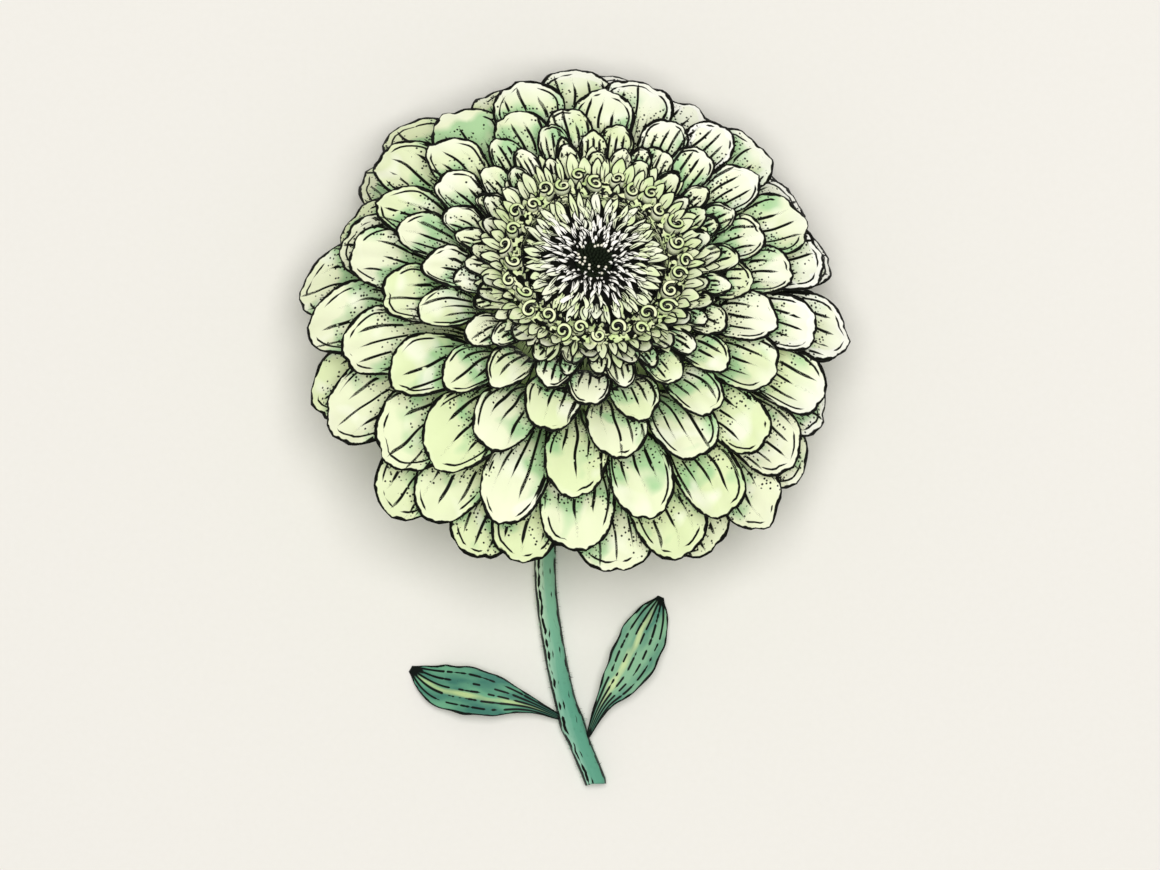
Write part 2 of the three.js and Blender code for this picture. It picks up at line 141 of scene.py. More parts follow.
# The tips lie on a dome, INNER_REACH out at its crown and RIM_RADIUS at the rim, and the last of
# them turn under. The whole head leans away from straight up.
RIM_RADIUS = 48
CROWN_HEIGHT = 30.5
INNER_REACH = 23.5
LAST_TURN = math.radians(100)
HEAD_LEAN = math.radians(27)
LEAN_HEADING = math.radians(13)
RIM_CENTRE = (0.404, 17.079, 19.6)
head_pose = (
    Matrix.Translation(RIM_CENTRE)
    @ Matrix.Rotation(-LEAN_HEADING, 4, "Z")
    @ Matrix.Rotation(-HEAD_LEAN, 4, "X")
)


def scatter(i, k):
    """A number from -1 to 1 that looks random and is the same for the same i and k."""
    wave = math.sin(i * 12.9898 + k * 78.233) * 43758.5453
    return 2 * (wave - math.floor(wave)) - 1


def mix(a, b, share):
    """The value that lies this share of the way from a to b."""
    return a + (b - a) * share


def smooth(low, high, value):
    """A soft step from 0 at low to 1 at high."""
    share = np.clip((np.asarray(value, float) - low) / (high - low), 0, 1)
    return share * share * (3 - 2 * share)


def posed(points, pose=head_pose):
    """Points carried by a pose, from the head's own frame to the table's if no other is given."""
    turn = np.array(pose, float)
    return np.asarray(points, float) @ turn[:3, :3].T + turn[:3, 3]


def settled(points, depth=0.0):
    """Petals that would reach through the table lie along it instead."""
    drop = np.maximum(depth - points[:, 2], 0)
    outward = points[:, :2] - RIM_CENTRE[:2]
    outward /= np.maximum(np.linalg.norm(outward, axis=1, keepdims=True), 1e-6)
    points[:, :2] += 0.6 * drop[:, None] * outward
    points[:, 2] = np.maximum(points[:, 2], depth)
    return points


def flat_blade(length, half_width, rows, rings):
    """A blade laid flat: x across, y along, margin the distance to its outline, and its faces.
    half_width gives the half width in mm at each share of the length. Rings run out to the margin."""
    share = np.linspace(0, 1, 241)
    x, y = half_width(share), share * length
    walked = np.concatenate([[0], np.cumsum(np.hypot(np.diff(x), np.diff(y)))])
    stops = np.linspace(0, walked[-1], rows + 1)
    side_x, side_y = np.interp(stops, walked, x), np.interp(stops, walked, y)
    middle_y = side_y - 0.24 * length * smooth(0.5, 1, side_y / length)
    ring_x = np.concatenate([side_x, -side_x[-2::-1]])
    ring_y = np.concatenate([side_y, side_y[-2::-1]])
    back_y = np.concatenate([middle_y, middle_y[-2::-1]])
    xs = np.concatenate([np.zeros(rows + 1), *(ring_x * ring for ring in rings)])
    ys = np.concatenate([middle_y, *(back_y + (ring_y - back_y) * ring for ring in rings)])
    outline = np.stack([np.concatenate([x, -x]), np.concatenate([y, y])], 1)
    margin = np.hypot(xs[:, None] - outline[None, :, 0], ys[:, None] - outline[None, :, 1]).min(1)
    margin[-(2 * rows + 1):] = 0

    def at(ring, s):
        return min(s, 2 * rows - s) if ring == 0 else rows + 1 + (ring - 1) * (2 * rows + 1) + s

    tops, last = [], len(rings)
    for ring in range(last):
        for s in range(2 * rows):
            tops.append((at(ring, s), at(ring + 1, s), at(ring + 1, s + 1), at(ring, s + 1)))
    under = len(xs)
    faces = tops + [tuple(under + v for v in reversed(top)) for top in tops]
    for s in range(2 * rows):
        a, b = at(last, s), at(last, s + 1)
        faces.append((a, under + a, under + b, b))
    root = [at(ring, 2 * rows) for ring in range(last, 0, -1)]
    root += [at(ring, 0) for ring in range(last + 1)]
    for a, b in zip(root, root[1:]):
        faces.append((b, a, under + a, under + b))
    return xs, ys, margin, faces


def turned(profile, sides):
    """A solid turned round the head's axis. The profile runs from below to above, radius first."""
    profile = np.asarray(profile, float)
    angles = np.linspace(0, 2 * np.pi, sides, endpoint=False)
    reach, height = profile[:, :1], profile[:, 1:] + 0 * angles
    points = np.stack([reach * np.cos(angles), reach * np.sin(angles), height], 2).reshape(-1, 3)
    faces = [tuple(reversed(range(sides))), tuple(range(len(points) - sides, len(points)))]
    for k in range(len(profile) - 1):
        for step in range(sides):
            a, b = k * sides + step, k * sides + (step + 1) % sides
            faces.append((a, b, b + sides, a + sides))
    return points, faces


class Grown:
    """Parts gathered for one piece: their points, faces, and what the finish reads at each point."""

    def __init__(self):
        self.points, self.faces, self.marks = [], [], {}
        self.count = 0

    def add(self, points, faces, marks):
        self.points.append(points)
        self.faces += [tuple(v + self.count for v in face) for face in faces]
        for name, values in marks.items():
            self.marks.setdefault(name, []).append(np.asarray(values, np.float32))
        self.count += len(points)

    def piece(self, name, finish, solid):
        """Makes the object, on the one body of the flower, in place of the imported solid."""
        mesh = bpy.data.meshes.new(name)
        mesh.from_pydata((np.concatenate(self.points) / 1000).tolist(), [], self.faces)
        for mark, values in self.marks.items():
            held = mesh.attributes.new(mark, "FLOAT_VECTOR", "POINT")
            held.data.foreach_set("vector", np.concatenate(values).ravel())
        mesh.shade_smooth()
        mesh.materials.append(finish)
        made = bpy.data.objects.new(name, mesh)
        bpy.context.scene.collection.objects.link(made)
        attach(made, "root")
        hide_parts(solid)


def petal_place(i):
    """Where petal i grows, in the head's own frame: the curve of its middle, its turn and width."""
    order = (i + 0.5) / PETAL_COUNT
    share = order / RIM_START
    crowded = mix(RIM_PLACE, 1, (order - RIM_START) / (1 - RIM_START))
    place = RIM_PLACE * share**2 * (1.45 - 0.45 * share) if order < RIM_START else crowded
    turn = place * LAST_TURN
    tip = Vector((mix(INNER_REACH, RIM_RADIUS, math.sin(turn)), CROWN_HEIGHT * math.cos(turn)))
    root = Vector((14.8 + 22 * place - 26 * place**2, 20 - 25 * place + 2 * place**2))
    length = (tip - root).length * (1 + 0.05 * scatter(i, 2))
    tip = root + (tip - root).normalized() * length
    rise = math.radians(6 - 48 * place + 8 * math.exp(-12 * place) + 3 * scatter(i, 1))
    bend = tip - 0.6 * length * Vector((math.cos(rise), math.sin(rise)))
    return {
        "curve": (root, bend, tip),
        "place": place,
        "angle": FIRST_PETAL + i * GOLDEN_ANGLE + 0.065 * scatter(i, 3),
        "width": mix(16.2, 4.3, math.exp(-2.6 * place)) * (1 + 0.15 * scatter(i, 4)),
        "roll": 0.05 * scatter(i, 5),
        "point": max(0.1 + scatter(i, 6), -0.4),
        "number": i,
    }


ROUND_FROM = 0.74  # the share of a petal's length where its round end starts


def petal_half_width(petal):
    """A narrow claw that widens to a broad round end, with a faint ripple."""
    wave = petal["number"] * 2.4

    def half_width(share):
        claw = mix(0.28, 1.0, smooth(0.18, 0.82, share))
        past = np.clip((share - ROUND_FROM) / (1 - ROUND_FROM), 0, 1)
        end = np.sqrt(np.clip(1 - past**2.3, 0, 1))
        ripple = 1 + 0.03 * np.sin(share * 21 + wave) * smooth(0.4, 0.8, share)
        return petal["width"] / 2 * claw * end * ripple
    return half_width


CURVE_SHARES = np.linspace(0, 1, 33)[:, None]


def on_curve(curve, share):
    """Points of a blade's middle, a curve from its root over its bend to its tip."""
    root, bend, tip = (np.array(p) for p in curve)
    return root * (1 - share) ** 2 + 2 * bend * share * (1 - share) + tip * share**2


def curve_steps(curve):
    """The lengths of the short steps that the curve is measured by."""
    return np.linalg.norm(np.diff(on_curve(curve, CURVE_SHARES), axis=0), axis=1)


def petal_points(petal, x, y, raised):
    """The blade on its own surface of revolution: cupped, rolled a little, furrowed and waved."""
    root, bend, tip = (np.array(p) for p in petal["curve"])
    length, width, i = petal["length"], petal["width"], petal["number"]
    walked = np.concatenate([[0], np.cumsum(curve_steps(petal["curve"]))])
    t = np.interp(y, walked, CURVE_SHARES[:, 0])
    t = (t + np.maximum(y - length, 0) / (1.2 * length))[:, None]
    middle = on_curve(petal["curve"], t)
    ahead = 2 * (bend - root) * (1 - t) + 2 * (tip - bend) * t
    ahead /= np.linalg.norm(ahead, axis=1, keepdims=True)
    across = x / (width / 2)
    share = y / length
    lift = 0.12 * width * across**2 + petal.get("roll", 0) * x
    lift += 0.012 * width * np.cos(across * 9.4) * smooth(0.3, 0.8, share)
    lift += 0.024 * width * np.sin(share * 9 + 3 * across + i) * np.abs(across) ** 3
    lift += raised
    reach = middle[:, 0] - ahead[:, 1] * lift
    height = middle[:, 1] + ahead[:, 0] * lift
    wander = petal.get("wander", 0) * np.sin(share * 5.5 + 2 * i) + petal.get("sweep", 0) * share
    angle = petal["angle"] + (x + wander) / middle[:, 0]
    return np.stack([reach * np.cos(angle), reach * np.sin(angle), height], 1)


PETAL_THICKNESS = 0.5
PETAL_ROWS = 34
PETAL_RINGS = (0.28, 0.52, 0.72, 0.86, 0.95, 1)


def grow_petal(petal, thickness, outline=petal_half_width, rows=PETAL_ROWS, rings=PETAL_RINGS):
    """A finished blade: points where the head lies, faces, and its flat lie for the finish."""
    petal["length"] = length = float(curve_steps(petal["curve"]).sum())
    width, i = petal["width"], petal["number"]
    half_width = outline(petal)
    x, y, margin, faces = flat_blade(length, half_width, rows, rings)
    # The veins follow the half width, which for them stays full out to the end.
    half = np.maximum(half_width(np.minimum(y / length, ROUND_FROM)), 0.4)
    # The end is drawn out to a point or notched in the middle, and its margin is uneven.
    middle = np.clip(1 - np.abs(x) / (0.32 * width), 0, 1)
    wave = x / width
    bumps = np.abs(np.sin(7 * wave + i)) + 0.5 * np.abs(np.sin(16 * wave + 2 * i)) - 0.9
    bumps *= 0.038 * width
    y = y + (0.08 * width * petal.get("point", 0) * middle + bumps) * smooth(0.8, 1, y / length)
    swell = 0.5 * thickness * (0.45 + 0.55 * smooth(0, 2.5, margin))
    top = settled(posed(petal_points(petal, x, y, swell)), 0.3)
    under = settled(posed(petal_points(petal, x, y, -swell)))
    return {
        "points": np.concatenate([top, under]),
        "faces": faces,
        "flat": (x, y, margin, half),
        "petal": petal,
    }


grown = [grow_petal(petal_place(i), PETAL_THICKNESS) for i in range(PETAL_COUNT)]

# The youngest petals stand between the curled florets and the open ones, in two rows.
YOUNG_COUNT = 28
YOUNG_THICKNESS = 0.4


def young_petal(i):
    """The curve, turn and width of a young petal, which stands up and leans out a little."""
    row = i % 2
    lean = 0.5 + 0.5 * scatter(i, 21)
    tip = Vector((20.3 + 1.6 * row + 0.8 * lean, 30.9 + 0.4 * lean))
    root = Vector((13.6, 20.6))
    bend = Vector((17.8 + 0.8 * row, 28.9))
    return {
        "curve": (root, bend, tip),
        "place": 0.0,
        "angle": (i + 0.3 * scatter(i, 22)) / YOUNG_COUNT * 2 * math.pi,
        "width": 4.2 + 0.6 * row + 0.6 * scatter(i, 23),
        "roll": 0.1 * scatter(i, 24),
        "point": 0.6 + 0.4 * scatter(i, 25),
        "number": PETAL_COUNT + i,
    }


grown_young = [grow_petal(young_petal(i), YOUNG_THICKNESS) for i in range(YOUNG_COUNT)]

# How much each point is tucked in under the petals over it, seen along rays that lean out from
# the blade, and how far it lies from where the blade goes under others, seen from above the
# table. The finish paints shade darkest in the gaps, and its dots of painted shade and the veins
# start from there. A plain wall stands for the ring of florets, which is grown later.
RAY_START = 0.25
RAY_REACH = 5.0
RAY_COUNT = 6
RAY_LEAN = 0.8
UP = Vector((0, 0, 1))
FLORET_WALL = [(12.9, 24), (16.8, 28), (16.8, 31), (12.9, 31)]
crowd = Grown()
for one in grown + grown_young:
    crowd.add(one["points"], one["faces"], {})
wall_points, wall_faces = turned(FLORET_WALL, sides=48)
crowd.add(posed(wall_points), wall_faces, {})
shell = BVHTree.FromPolygons(np.concatenate(crowd.points).tolist(), crowd.faces)


def looked_over(one):
    """For each point of the upper side: the share of its rays that a petal stops, and whether
    something lies straight above it. The ray straight out from the blade counts double."""
    count = len(one["points"]) // 2
    top, under = one["points"][:count], one["points"][count:]
    outward = top - under
    outward /= np.maximum(np.linalg.norm(outward, axis=1, keepdims=True), 1e-6)
    share, covered = np.zeros(count), np.zeros(count, bool)
    for k in range(count):
        normal = Vector(outward[k])
        side = normal.orthogonal().normalized()
        start = Vector(top[k]) + normal * RAY_START
        covered[k] = shell.ray_cast(start, UP)[0] is not None
        stopped = 2 * (shell.ray_cast(start, normal, RAY_REACH)[0] is not None)
        for step in range(RAY_COUNT):
            lean = side.copy()
            lean.rotate(Matrix.Rotation(step * 2 * math.pi / RAY_COUNT, 3, normal))
            way = (normal + lean * RAY_LEAN).normalized()
            stopped += shell.ray_cast(start, way, RAY_REACH)[0] is not None
        share[k] = stopped / (RAY_COUNT + 2)
    return share, covered


def on_both_sides(*values):
    """Three marks for each point of a blade's upper side, and the same again for its underside."""
    marks = np.stack([column.ravel() for column in np.broadcast_arrays(*values)], 1)
    return np.tile(marks, (2, 1))


# The marks of a petal. lie: across, along and the petal's number. edge: the half width, the
# distance to the margin, and 1 on the upper side. cover: how far a point is tucked in, how many mm
# it has come out from under others, and the same as a share. tint: how pale and how jade the petal
# is, and its tone. The paleness is painted light: the petals that point towards the lit side are
# the palest.
LIT_SIDE = math.radians(58)
for one in grown + grown_young:
    x, y, margin, half = one["flat"]
    tucked, covered = looked_over(one)
    gap = np.hypot(x[:, None] - x[None], y[:, None] - y[None])
    bare = gap[:, covered].min(1) if covered.any() else y
    if not covered.all():
        bare = np.where(covered, -gap[:, ~covered].min(1), bare)
    petal = one["petal"]
    i = petal["number"]
    # Painted light: the petals that point towards the lit side are made paler.
    lit_heading = math.cos(petal["angle"] - LIT_SIDE)
    pale = np.clip(0.3 + 0.25 * scatter(i, 31) + 1.3 * lit_heading * petal["place"], 0, 1.4)
    jade = 0.5 + 0.5 * scatter(i, 32)
    tone = 0.5 + 0.5 * scatter(i, 33)
    edge = on_both_sides(half, margin, 0)
    edge[:len(x), 2] = 1
    one["marks"] = {
        "lie": on_both_sides(x, y, i),
        "edge": edge,
        "cover": on_both_sides(tucked, bare, bare / max(bare.max(), 1.0)),
        "tint": np.tile([pale, jade, tone], (2 * len(x), 1)),
    }


def marks_of(tree, *names):
    """The three numbers of each mark that a finish reads."""
    split = []
    for name in names:
        mark = node(tree, "Attribute", out="Vector", attribute_name=name)
        split.append(node(tree, "SeparateXYZ", {0: mark}).node.outputs)
    return split


def own_spot(tree, lie, apart):
    """Where a blade's patterns are read: its flat lie, on a layer of its own."""
    layer = node(tree, "Math", {0: lie[2], 1: apart}, operation="MULTIPLY")
    return node(tree, "CombineXYZ", {0: lie[0], 1: lie[1], 2: layer})


def pen_line(tree, distance, width, soft=0.05):
    """Ink where the distance to a line is under the width, with a soft edge. All are in mm."""
    over = node(tree, "Math", {0: distance, 1: width}, operation="SUBTRACT")
    return node(tree, "MapRange", {
        "Value": over, "From Min": -soft, "From Max": soft, "To Min": 1.0, "To Max": 0.0,
    })


def vein_lanes(tree, lane, half, apart):
    """The nearest vein's number, and how far it is. The lanes lie apart times half from each other."""
    vein = node(tree, "Math", {0: lane}, operation="ROUND")
    off = node(tree, "Math", {0: lane, 1: vein}, operation="SUBTRACT")
    off = node(tree, "Math", {0: off}, operation="ABSOLUTE")
    off = node(tree, "Math", {0: off, 1: half}, operation="MULTIPLY")
    return vein, node(tree, "Math", {0: off, 1: apart}, operation="MULTIPLY")


def darkest(tree, *masks):
    """The masks laid over each other."""
    whole = masks[0]
    for mask in masks[1:]:
        whole = node(tree, "Math", {0: whole, 1: mask}, operation="MAXIMUM")
    return whole


def inked_skin(tree, wash, drawn, ink, roughness, sheen=0.05):
    """The end of a living finish: ink laid on a wash, a little sunk, under a soft surface."""
    skin = node(tree, "Mix", {0: drawn, 6: wash, 7: linear(ink)}, out=2, data_type="RGBA")
    relief = node(tree, "Bump", {"Strength": 0.35, "Distance": 0.00008, "Height": drawn}, invert=True)
    surface = node(tree, "BsdfPrincipled", {
        "Base Color": skin,
        "Roughness": roughness,
        "IOR": 1.42,
        "Specular IOR Level": 0.1,
        "Sheen Weight": sheen,
        "Sheen Roughness": 0.5,
        "Normal": relief,
    })
    node(tree, "OutputMaterial", {"Surface": surface})


def petal_wash(tree, spot, edge, cover, tint):
    """Lime clouds 8 mm across, jade pools of 5 mm near the claw, partly the petal's own tint and
    partly painted shade where it comes out from under others, and paler ends, a painted light that
    is strongest on the lit side.
    """
    cloud = node(tree, "TexNoise", {"Vector": spot, "Scale": 0.12, "Detail": 2.0})
    cloud = node(tree, "Math", {0: cloud, 1: tint[2]}, operation="ADD")
    cloud = node(tree, "MapRange", {"Value": cloud, "From Min": 0.5, "From Max": 1.5})
    wash = node(tree, "Mix", {0: cloud, 6: linear("#edf0d0"), 7: linear("#dde8b6")}, out=2, data_type="RGBA")
    pool = node(tree, "TexNoise", {"Vector": spot, "Scale": 0.2, "Detail": 1.0})
    # Painted shade: the jade pools gather where the petal comes out from under others.
    near = node(tree, "MapRange", {"Value": cover[2], "From Max": 0.75, "To Min": 0.25, "To Max": -0.14})
    pool = node(tree, "Math", {0: pool, 1: near}, operation="ADD")
    pool = node(tree, "Math", {0: tint[1], 1: 0.16, 2: pool}, operation="MULTIPLY_ADD")
    pool = node(tree, "MapRange", {"Value": pool, "From Min": 0.65, "From Max": 0.86, "To Max": 0.8})
    wash = node(tree, "Mix", {0: pool, 6: wash, 7: linear("#9ccb93")}, out=2, data_type="RGBA")
    # Painted light: the ends of the petals are paler, most of all on the lit side.
    painted_light_far = node(tree, "Math", {0: cover[2], 1: tint[0]}, operation="ADD")
    painted_light_far = node(tree, "MapRange", {"Value": painted_light_far, "From Min": 0.85, "From Max": 1.5, "To Max": 0.92})
    wash = node(tree, "Mix", {0: painted_light_far, 6: wash, 7: linear("#f8fae6")}, out=2, data_type="RGBA")
    thin = node(tree, "TexNoise", {"Vector": spot, "Scale": 0.16, "Detail": 1.0, "Distortion": 0.4})
    thin = node(tree, "MapRange", {"Value": thin, "From Min": 0.56, "From Max": 0.7, "To Max": 0.75})
    wash = node(tree, "Mix", {0: thin, 6: wash, 7: linear("#f6f8e2")}, out=2, data_type="RGBA")

    # On the palest petals, those on the lit side, the wash stops 1 to 2.4 mm short of the margin: a
    # painted highlight.
    stop = node(tree, "TexNoise", {"Vector": spot, "Scale": 0.3, "Detail": 1.0})
    stop = node(tree, "MapRange", {
        "Value": stop, "From Min": 0.35, "From Max": 0.65, "To Min": 1.0, "To Max": 2.4,
    })
    painted_highlight_margin = pen_line(tree, edge[1], stop, soft=0.25)
    lit_palest = node(tree, "MapRange", {"Value": tint[0], "From Min": 0.6, "From Max": 0.95})
    painted_highlight_margin = node(tree, "Math", {0: painted_highlight_margin, 1: lit_palest}, operation="MULTIPLY")
    return node(tree, "Mix", {0: painted_highlight_margin, 6: wash, 7: linear("#fdfdf3")}, out=2, data_type="RGBA")


def petal_margin(tree, spot, edge):
    """The line round the petal, which swells and thins along its way."""
    width = node(tree, "TexNoise", {"Vector": spot, "Scale": 0.45, "Detail": 2.0})
    width = node(tree, "MapRange", {
        "Value": width, "From Min": 0.35, "From Max": 0.65, "To Min": 0.26, "To Max": 0.67,
    })
    broad = node(tree, "MapRange", {
        "Value": edge[0], "From Min": 1.0, "From Max": 6.0, "To Min": 0.7, "To Max": 1.1,
    })
    width = node(tree, "Math", {0: width, 1: broad}, operation="MULTIPLY")
    return pen_line(tree, edge[1], width)


def petal_folds(tree, spot, edge, cover):
    """A fold line that runs inside each side of the margin, on parts of the petal."""
    inner = node(tree, "Math", {0: edge[0], 1: -0.21, 2: edge[1]}, operation="MULTIPLY_ADD")
    inner = node(tree, "Math", {0: inner}, operation="ABSOLUTE")
    broken = node(tree, "TexNoise", {"Vector": spot, "Scale": 0.17, "Detail": 1.0})
    broken = node(tree, "MapRange", {"Value": broken, "From Min": 0.42, "From Max": 0.5})
    ahead = node(tree, "MapRange", {
        "Value": cover[2], "From Min": 0.72, "From Max": 0.82, "To Min": 1.0, "To Max": 0.0,
    })
    broken = node(tree, "Math", {0: broken, 1: ahead}, operation="MULTIPLY")
    width = node(tree, "MapRange", {"Value": broken, "To Min": -0.1, "To Max": 0.19})
    return pen_line(tree, inner, width)


def petal_veins(tree, spot, lie, edge, cover):
    """Veins fan out along the blade, five or so, each with its own start and end. Also given is
    the distance to the nearest, for the fine veins of the underside."""
    across = node(tree, "Math", {0: lie[0], 1: edge[0]}, operation="DIVIDE")
    sway = node(tree, "TexNoise", {"Vector": spot, "Scale": 0.13, "Detail": 0.0})
    sway = node(tree, "MapRange", {"Value": sway, "To Min": -0.5, "To Max": 0.5})
    lane = node(tree, "Math", {0: across, 1: 2.4, 2: sway}, operation="MULTIPLY_ADD")
    vein, off = vein_lanes(tree, lane, edge[0], apart=0.417)
    fate = node(tree, "CombineXYZ", {0: vein, 1: lie[2], 2: 0.5})
    fate = node(tree, "TexWhiteNoise", {"Vector": fate}, out="Color")
    fate = node(tree, "SeparateXYZ", {0: fate}).node.outputs
    start = node(tree, "MapRange", {"Value": fate[0], "To Min": -0.05, "To Max": 0.06})
    begun = node(tree, "Math", {0: cover[2], 1: start}, operation="GREATER_THAN")
    end = node(tree, "MapRange", {"Value": fate[1], "To Min": 0.4, "To Max": 0.86})
    wide = node(tree, "Math", {0: across}, operation="ABSOLUTE")
    end = node(tree, "Math", {0: wide, 1: -0.4, 2: end}, operation="MULTIPLY_ADD")
    left = node(tree, "Math", {0: end, 1: cover[2]}, operation="SUBTRACT")
    width = node(tree, "MapRange", {"Value": left, "From Max": 0.16, "To Min": -0.05, "To Max": 0.26})
    dash = node(tree, "TexNoise", {"Vector": spot, "Scale": 0.6, "Detail": 0.0})
    dash = node(tree, "MapRange", {"Value": dash, "From Min": 0.2, "From Max": 0.24})
    drawn = node(tree, "Math", {0: pen_line(tree, off, width), 1: begun}, operation="MULTIPLY")
    return node(tree, "Math", {0: drawn, 1: dash}, operation="MULTIPLY"), off


def petal_shade_dots(tree, spot, cover):
    """Dots 0.6 mm apart of painted shade, which gather where the petal comes out from under the next."""
    shade_dots = node(tree, "TexVoronoi", {"Vector": spot, "Scale": 1.6, "Randomness": 0.9}).node.outputs
    dot = node(tree, "Math", {0: shade_dots["Distance"], 1: 0.625}, operation="MULTIPLY")
    thick = node(tree, "MapRange", {
        "Value": cover[1], "From Min": 0.6, "From Max": 3.2, "To Min": 0.95, "To Max": 0.0,
    })
    luck = node(tree, "SeparateXYZ", {0: shade_dots["Color"]})
    chosen = node(tree, "Math", {0: thick, 1: luck}, operation="GREATER_THAN")
    return node(tree, "Math", {0: pen_line(tree, dot, 0.2), 1: chosen}, operation="MULTIPLY")


def petal_shade_strokes(tree, lie, cover):
    """Short strokes 0.7 mm apart of painted shade that come out of the tight gaps, each with its own
    length.
    """
    column = node(tree, "Math", {0: lie[0], 1: 1.43}, operation="MULTIPLY")
    own = node(tree, "Math", {0: column}, operation="FLOOR")
    own = node(tree, "CombineXYZ", {0: own, 1: lie[2], 2: 3.5})
    reach = node(tree, "TexWhiteNoise", {"Vector": own})
    reach = node(tree, "MapRange", {"Value": reach, "To Min": -1.3, "To Max": 1.9})
    left = node(tree, "Math", {0: reach, 1: cover[1]}, operation="SUBTRACT")
    width = node(tree, "MapRange", {"Value": left, "From Max": 1.6, "To Min": -0.06, "To Max": 0.15})
    off = node(tree, "Math", {0: column}, operation="FRACT")
    off = node(tree, "Math", {0: off, 1: 0.5}, operation="SUBTRACT")
    off = node(tree, "Math", {0: off}, operation="ABSOLUTE")
    off = node(tree, "Math", {0: off, 1: 0.7}, operation="MULTIPLY")
    return pen_line(tree, off, width)


# Petal skin: a thin waxy film over soft cells, matt with a faint sheen. The wash pools in cloudy
# patches, bluer towards the claw, which gather partly as painted shade where the petal comes out
# from under others; its ends, most of all on the lit side, are painted paler as light. The
# margins are dark lines up to 0.7 mm wide and the veins up to 0.5 mm, with dots of 0.4 mm and
# strokes of 0.3 mm of painted shade where the petal comes out from under others. All of them are
# drawn coarser than real, as a pen draws them, and the tightest gaps are painted dark as shade.
lime_petal_skin, tree = finish_of("lime_petal_skin")
lie, edge, cover, tint = marks_of(tree, "lie", "edge", "cover", "tint")
spot = own_spot(tree, lie, apart=9.73)
near_gap = node(tree, "Math", {0: cover[1], 1: -1.5}, operation="GREATER_THAN")
shade_dots = node(tree, "Math", {0: petal_shade_dots(tree, spot, cover), 1: near_gap}, operation="MULTIPLY")
shade_strokes = node(tree, "Math", {0: petal_shade_strokes(tree, lie, cover), 1: near_gap}, operation="MULTIPLY")
# Painted shade: the tightest gaps, where most rays from the blade are stopped, are dark.
rough = node(tree, "TexNoise", {"Vector": spot, "Scale": 1.3, "Detail": 1.0})
rough = node(tree, "MapRange", {"Value": rough, "To Min": -0.3, "To Max": 0.3})
gap_shade = node(tree, "Math", {0: cover[0], 1: rough}, operation="ADD")
gap_shade = node(tree, "MapRange", {"Value": gap_shade, "From Min": 0.88, "From Max": 0.95})
veins, off_vein = petal_veins(tree, spot, lie, edge, cover)
above = darkest(tree, veins, shade_dots, petal_folds(tree, spot, edge, cover), shade_strokes, gap_shade)
above = node(tree, "Math", {0: above, 1: edge[2]}, operation="MULTIPLY")
below = node(tree, "Math", {0: 1.0, 1: edge[2]}, operation="SUBTRACT")
below = node(tree, "Math", {0: pen_line(tree, off_vein, 0.07), 1: below}, operation="MULTIPLY")
drawn = darkest(tree, above, petal_margin(tree, spot, edge), below)
inked_skin(tree, petal_wash(tree, spot, edge, cover, tint), drawn, "#0a0b06", roughness=0.62)


def gather_petals(name, petals):
    """One piece made from these petals."""
    gathered = Grown()
    for one in petals:
        gathered.add(one["points"], one["faces"], one["marks"])
    gathered.piece(name, lime_petal_skin, "ray_petals")


WHORL_SIZE = 12
for whorl in range(math.ceil(PETAL_COUNT / WHORL_SIZE)):
    petals = grown[whorl * WHORL_SIZE:(whorl + 1) * WHORL_SIZE]
    gather_petals(f"ray_petals_whorl_{whorl + 1:02d}", petals)
gather_petals("ray_petals_youngest", grown_young)


# The receptacle: the fleshy core that every petal grows from. It is hidden but for dark gaps
# between the claws, and from below, where it is a plain mid green with dark streaks.
def smooth_line(points, steps):
    """Points along a smooth line through the given ones, with so many steps to each span."""
    points = [np.array(p, float) for p in points]
    points = [2 * points[0] - points[1], *points, 2 * points[-1] - points[-2]]
    line = []
    for a, b, c, d in zip(points, points[1:], points[2:], points[3:]):
        spans = [math.sqrt(np.linalg.norm(q - p)) for p, q in ((a, b), (b, c), (c, d))]
        k0, k1, k2, k3 = 0, spans[0], spans[0] + spans[1], sum(spans)
        t = np.linspace(k1, k2, steps, endpoint=False)[:, None]
        ab = a + (b - a) * (t - k0) / (k1 - k0)
        bc = b + (c - b) * (t - k1) / (k2 - k1)
        cd = c + (d - c) * (t - k2) / (k3 - k2)
        abc = ab + (bc - ab) * (t - k0) / (k2 - k0)
        bcd = bc + (cd - bc) * (t - k1) / (k3 - k1)
        line.append(abc + (bcd - abc) * (t - k1) / (k2 - k1))
    return np.concatenate([*line, points[-2][None]])


SEAT_HEIGHT = 23.7
CORE_FOOT = -4
CORE_LINE = [(11, CORE_FOOT), (14, -2), (22, 5), (20.5, 11), (16.5, 19), (14.2, SEAT_HEIGHT)]
core_profile = [(0.5, CORE_FOOT), *smooth_line(CORE_LINE, steps=4), (0.5, SEAT_HEIGHT)]
core_points, core_faces = turned(core_profile, sides=72)
turn = np.arctan2(core_points[:, 1], core_points[:, 0])
core = Grown()
core.add(posed(core_points), core_faces, {
    "lie": np.stack([turn * 40, core_points[:, 2] * 0.25, 0 * turn], 1),
})

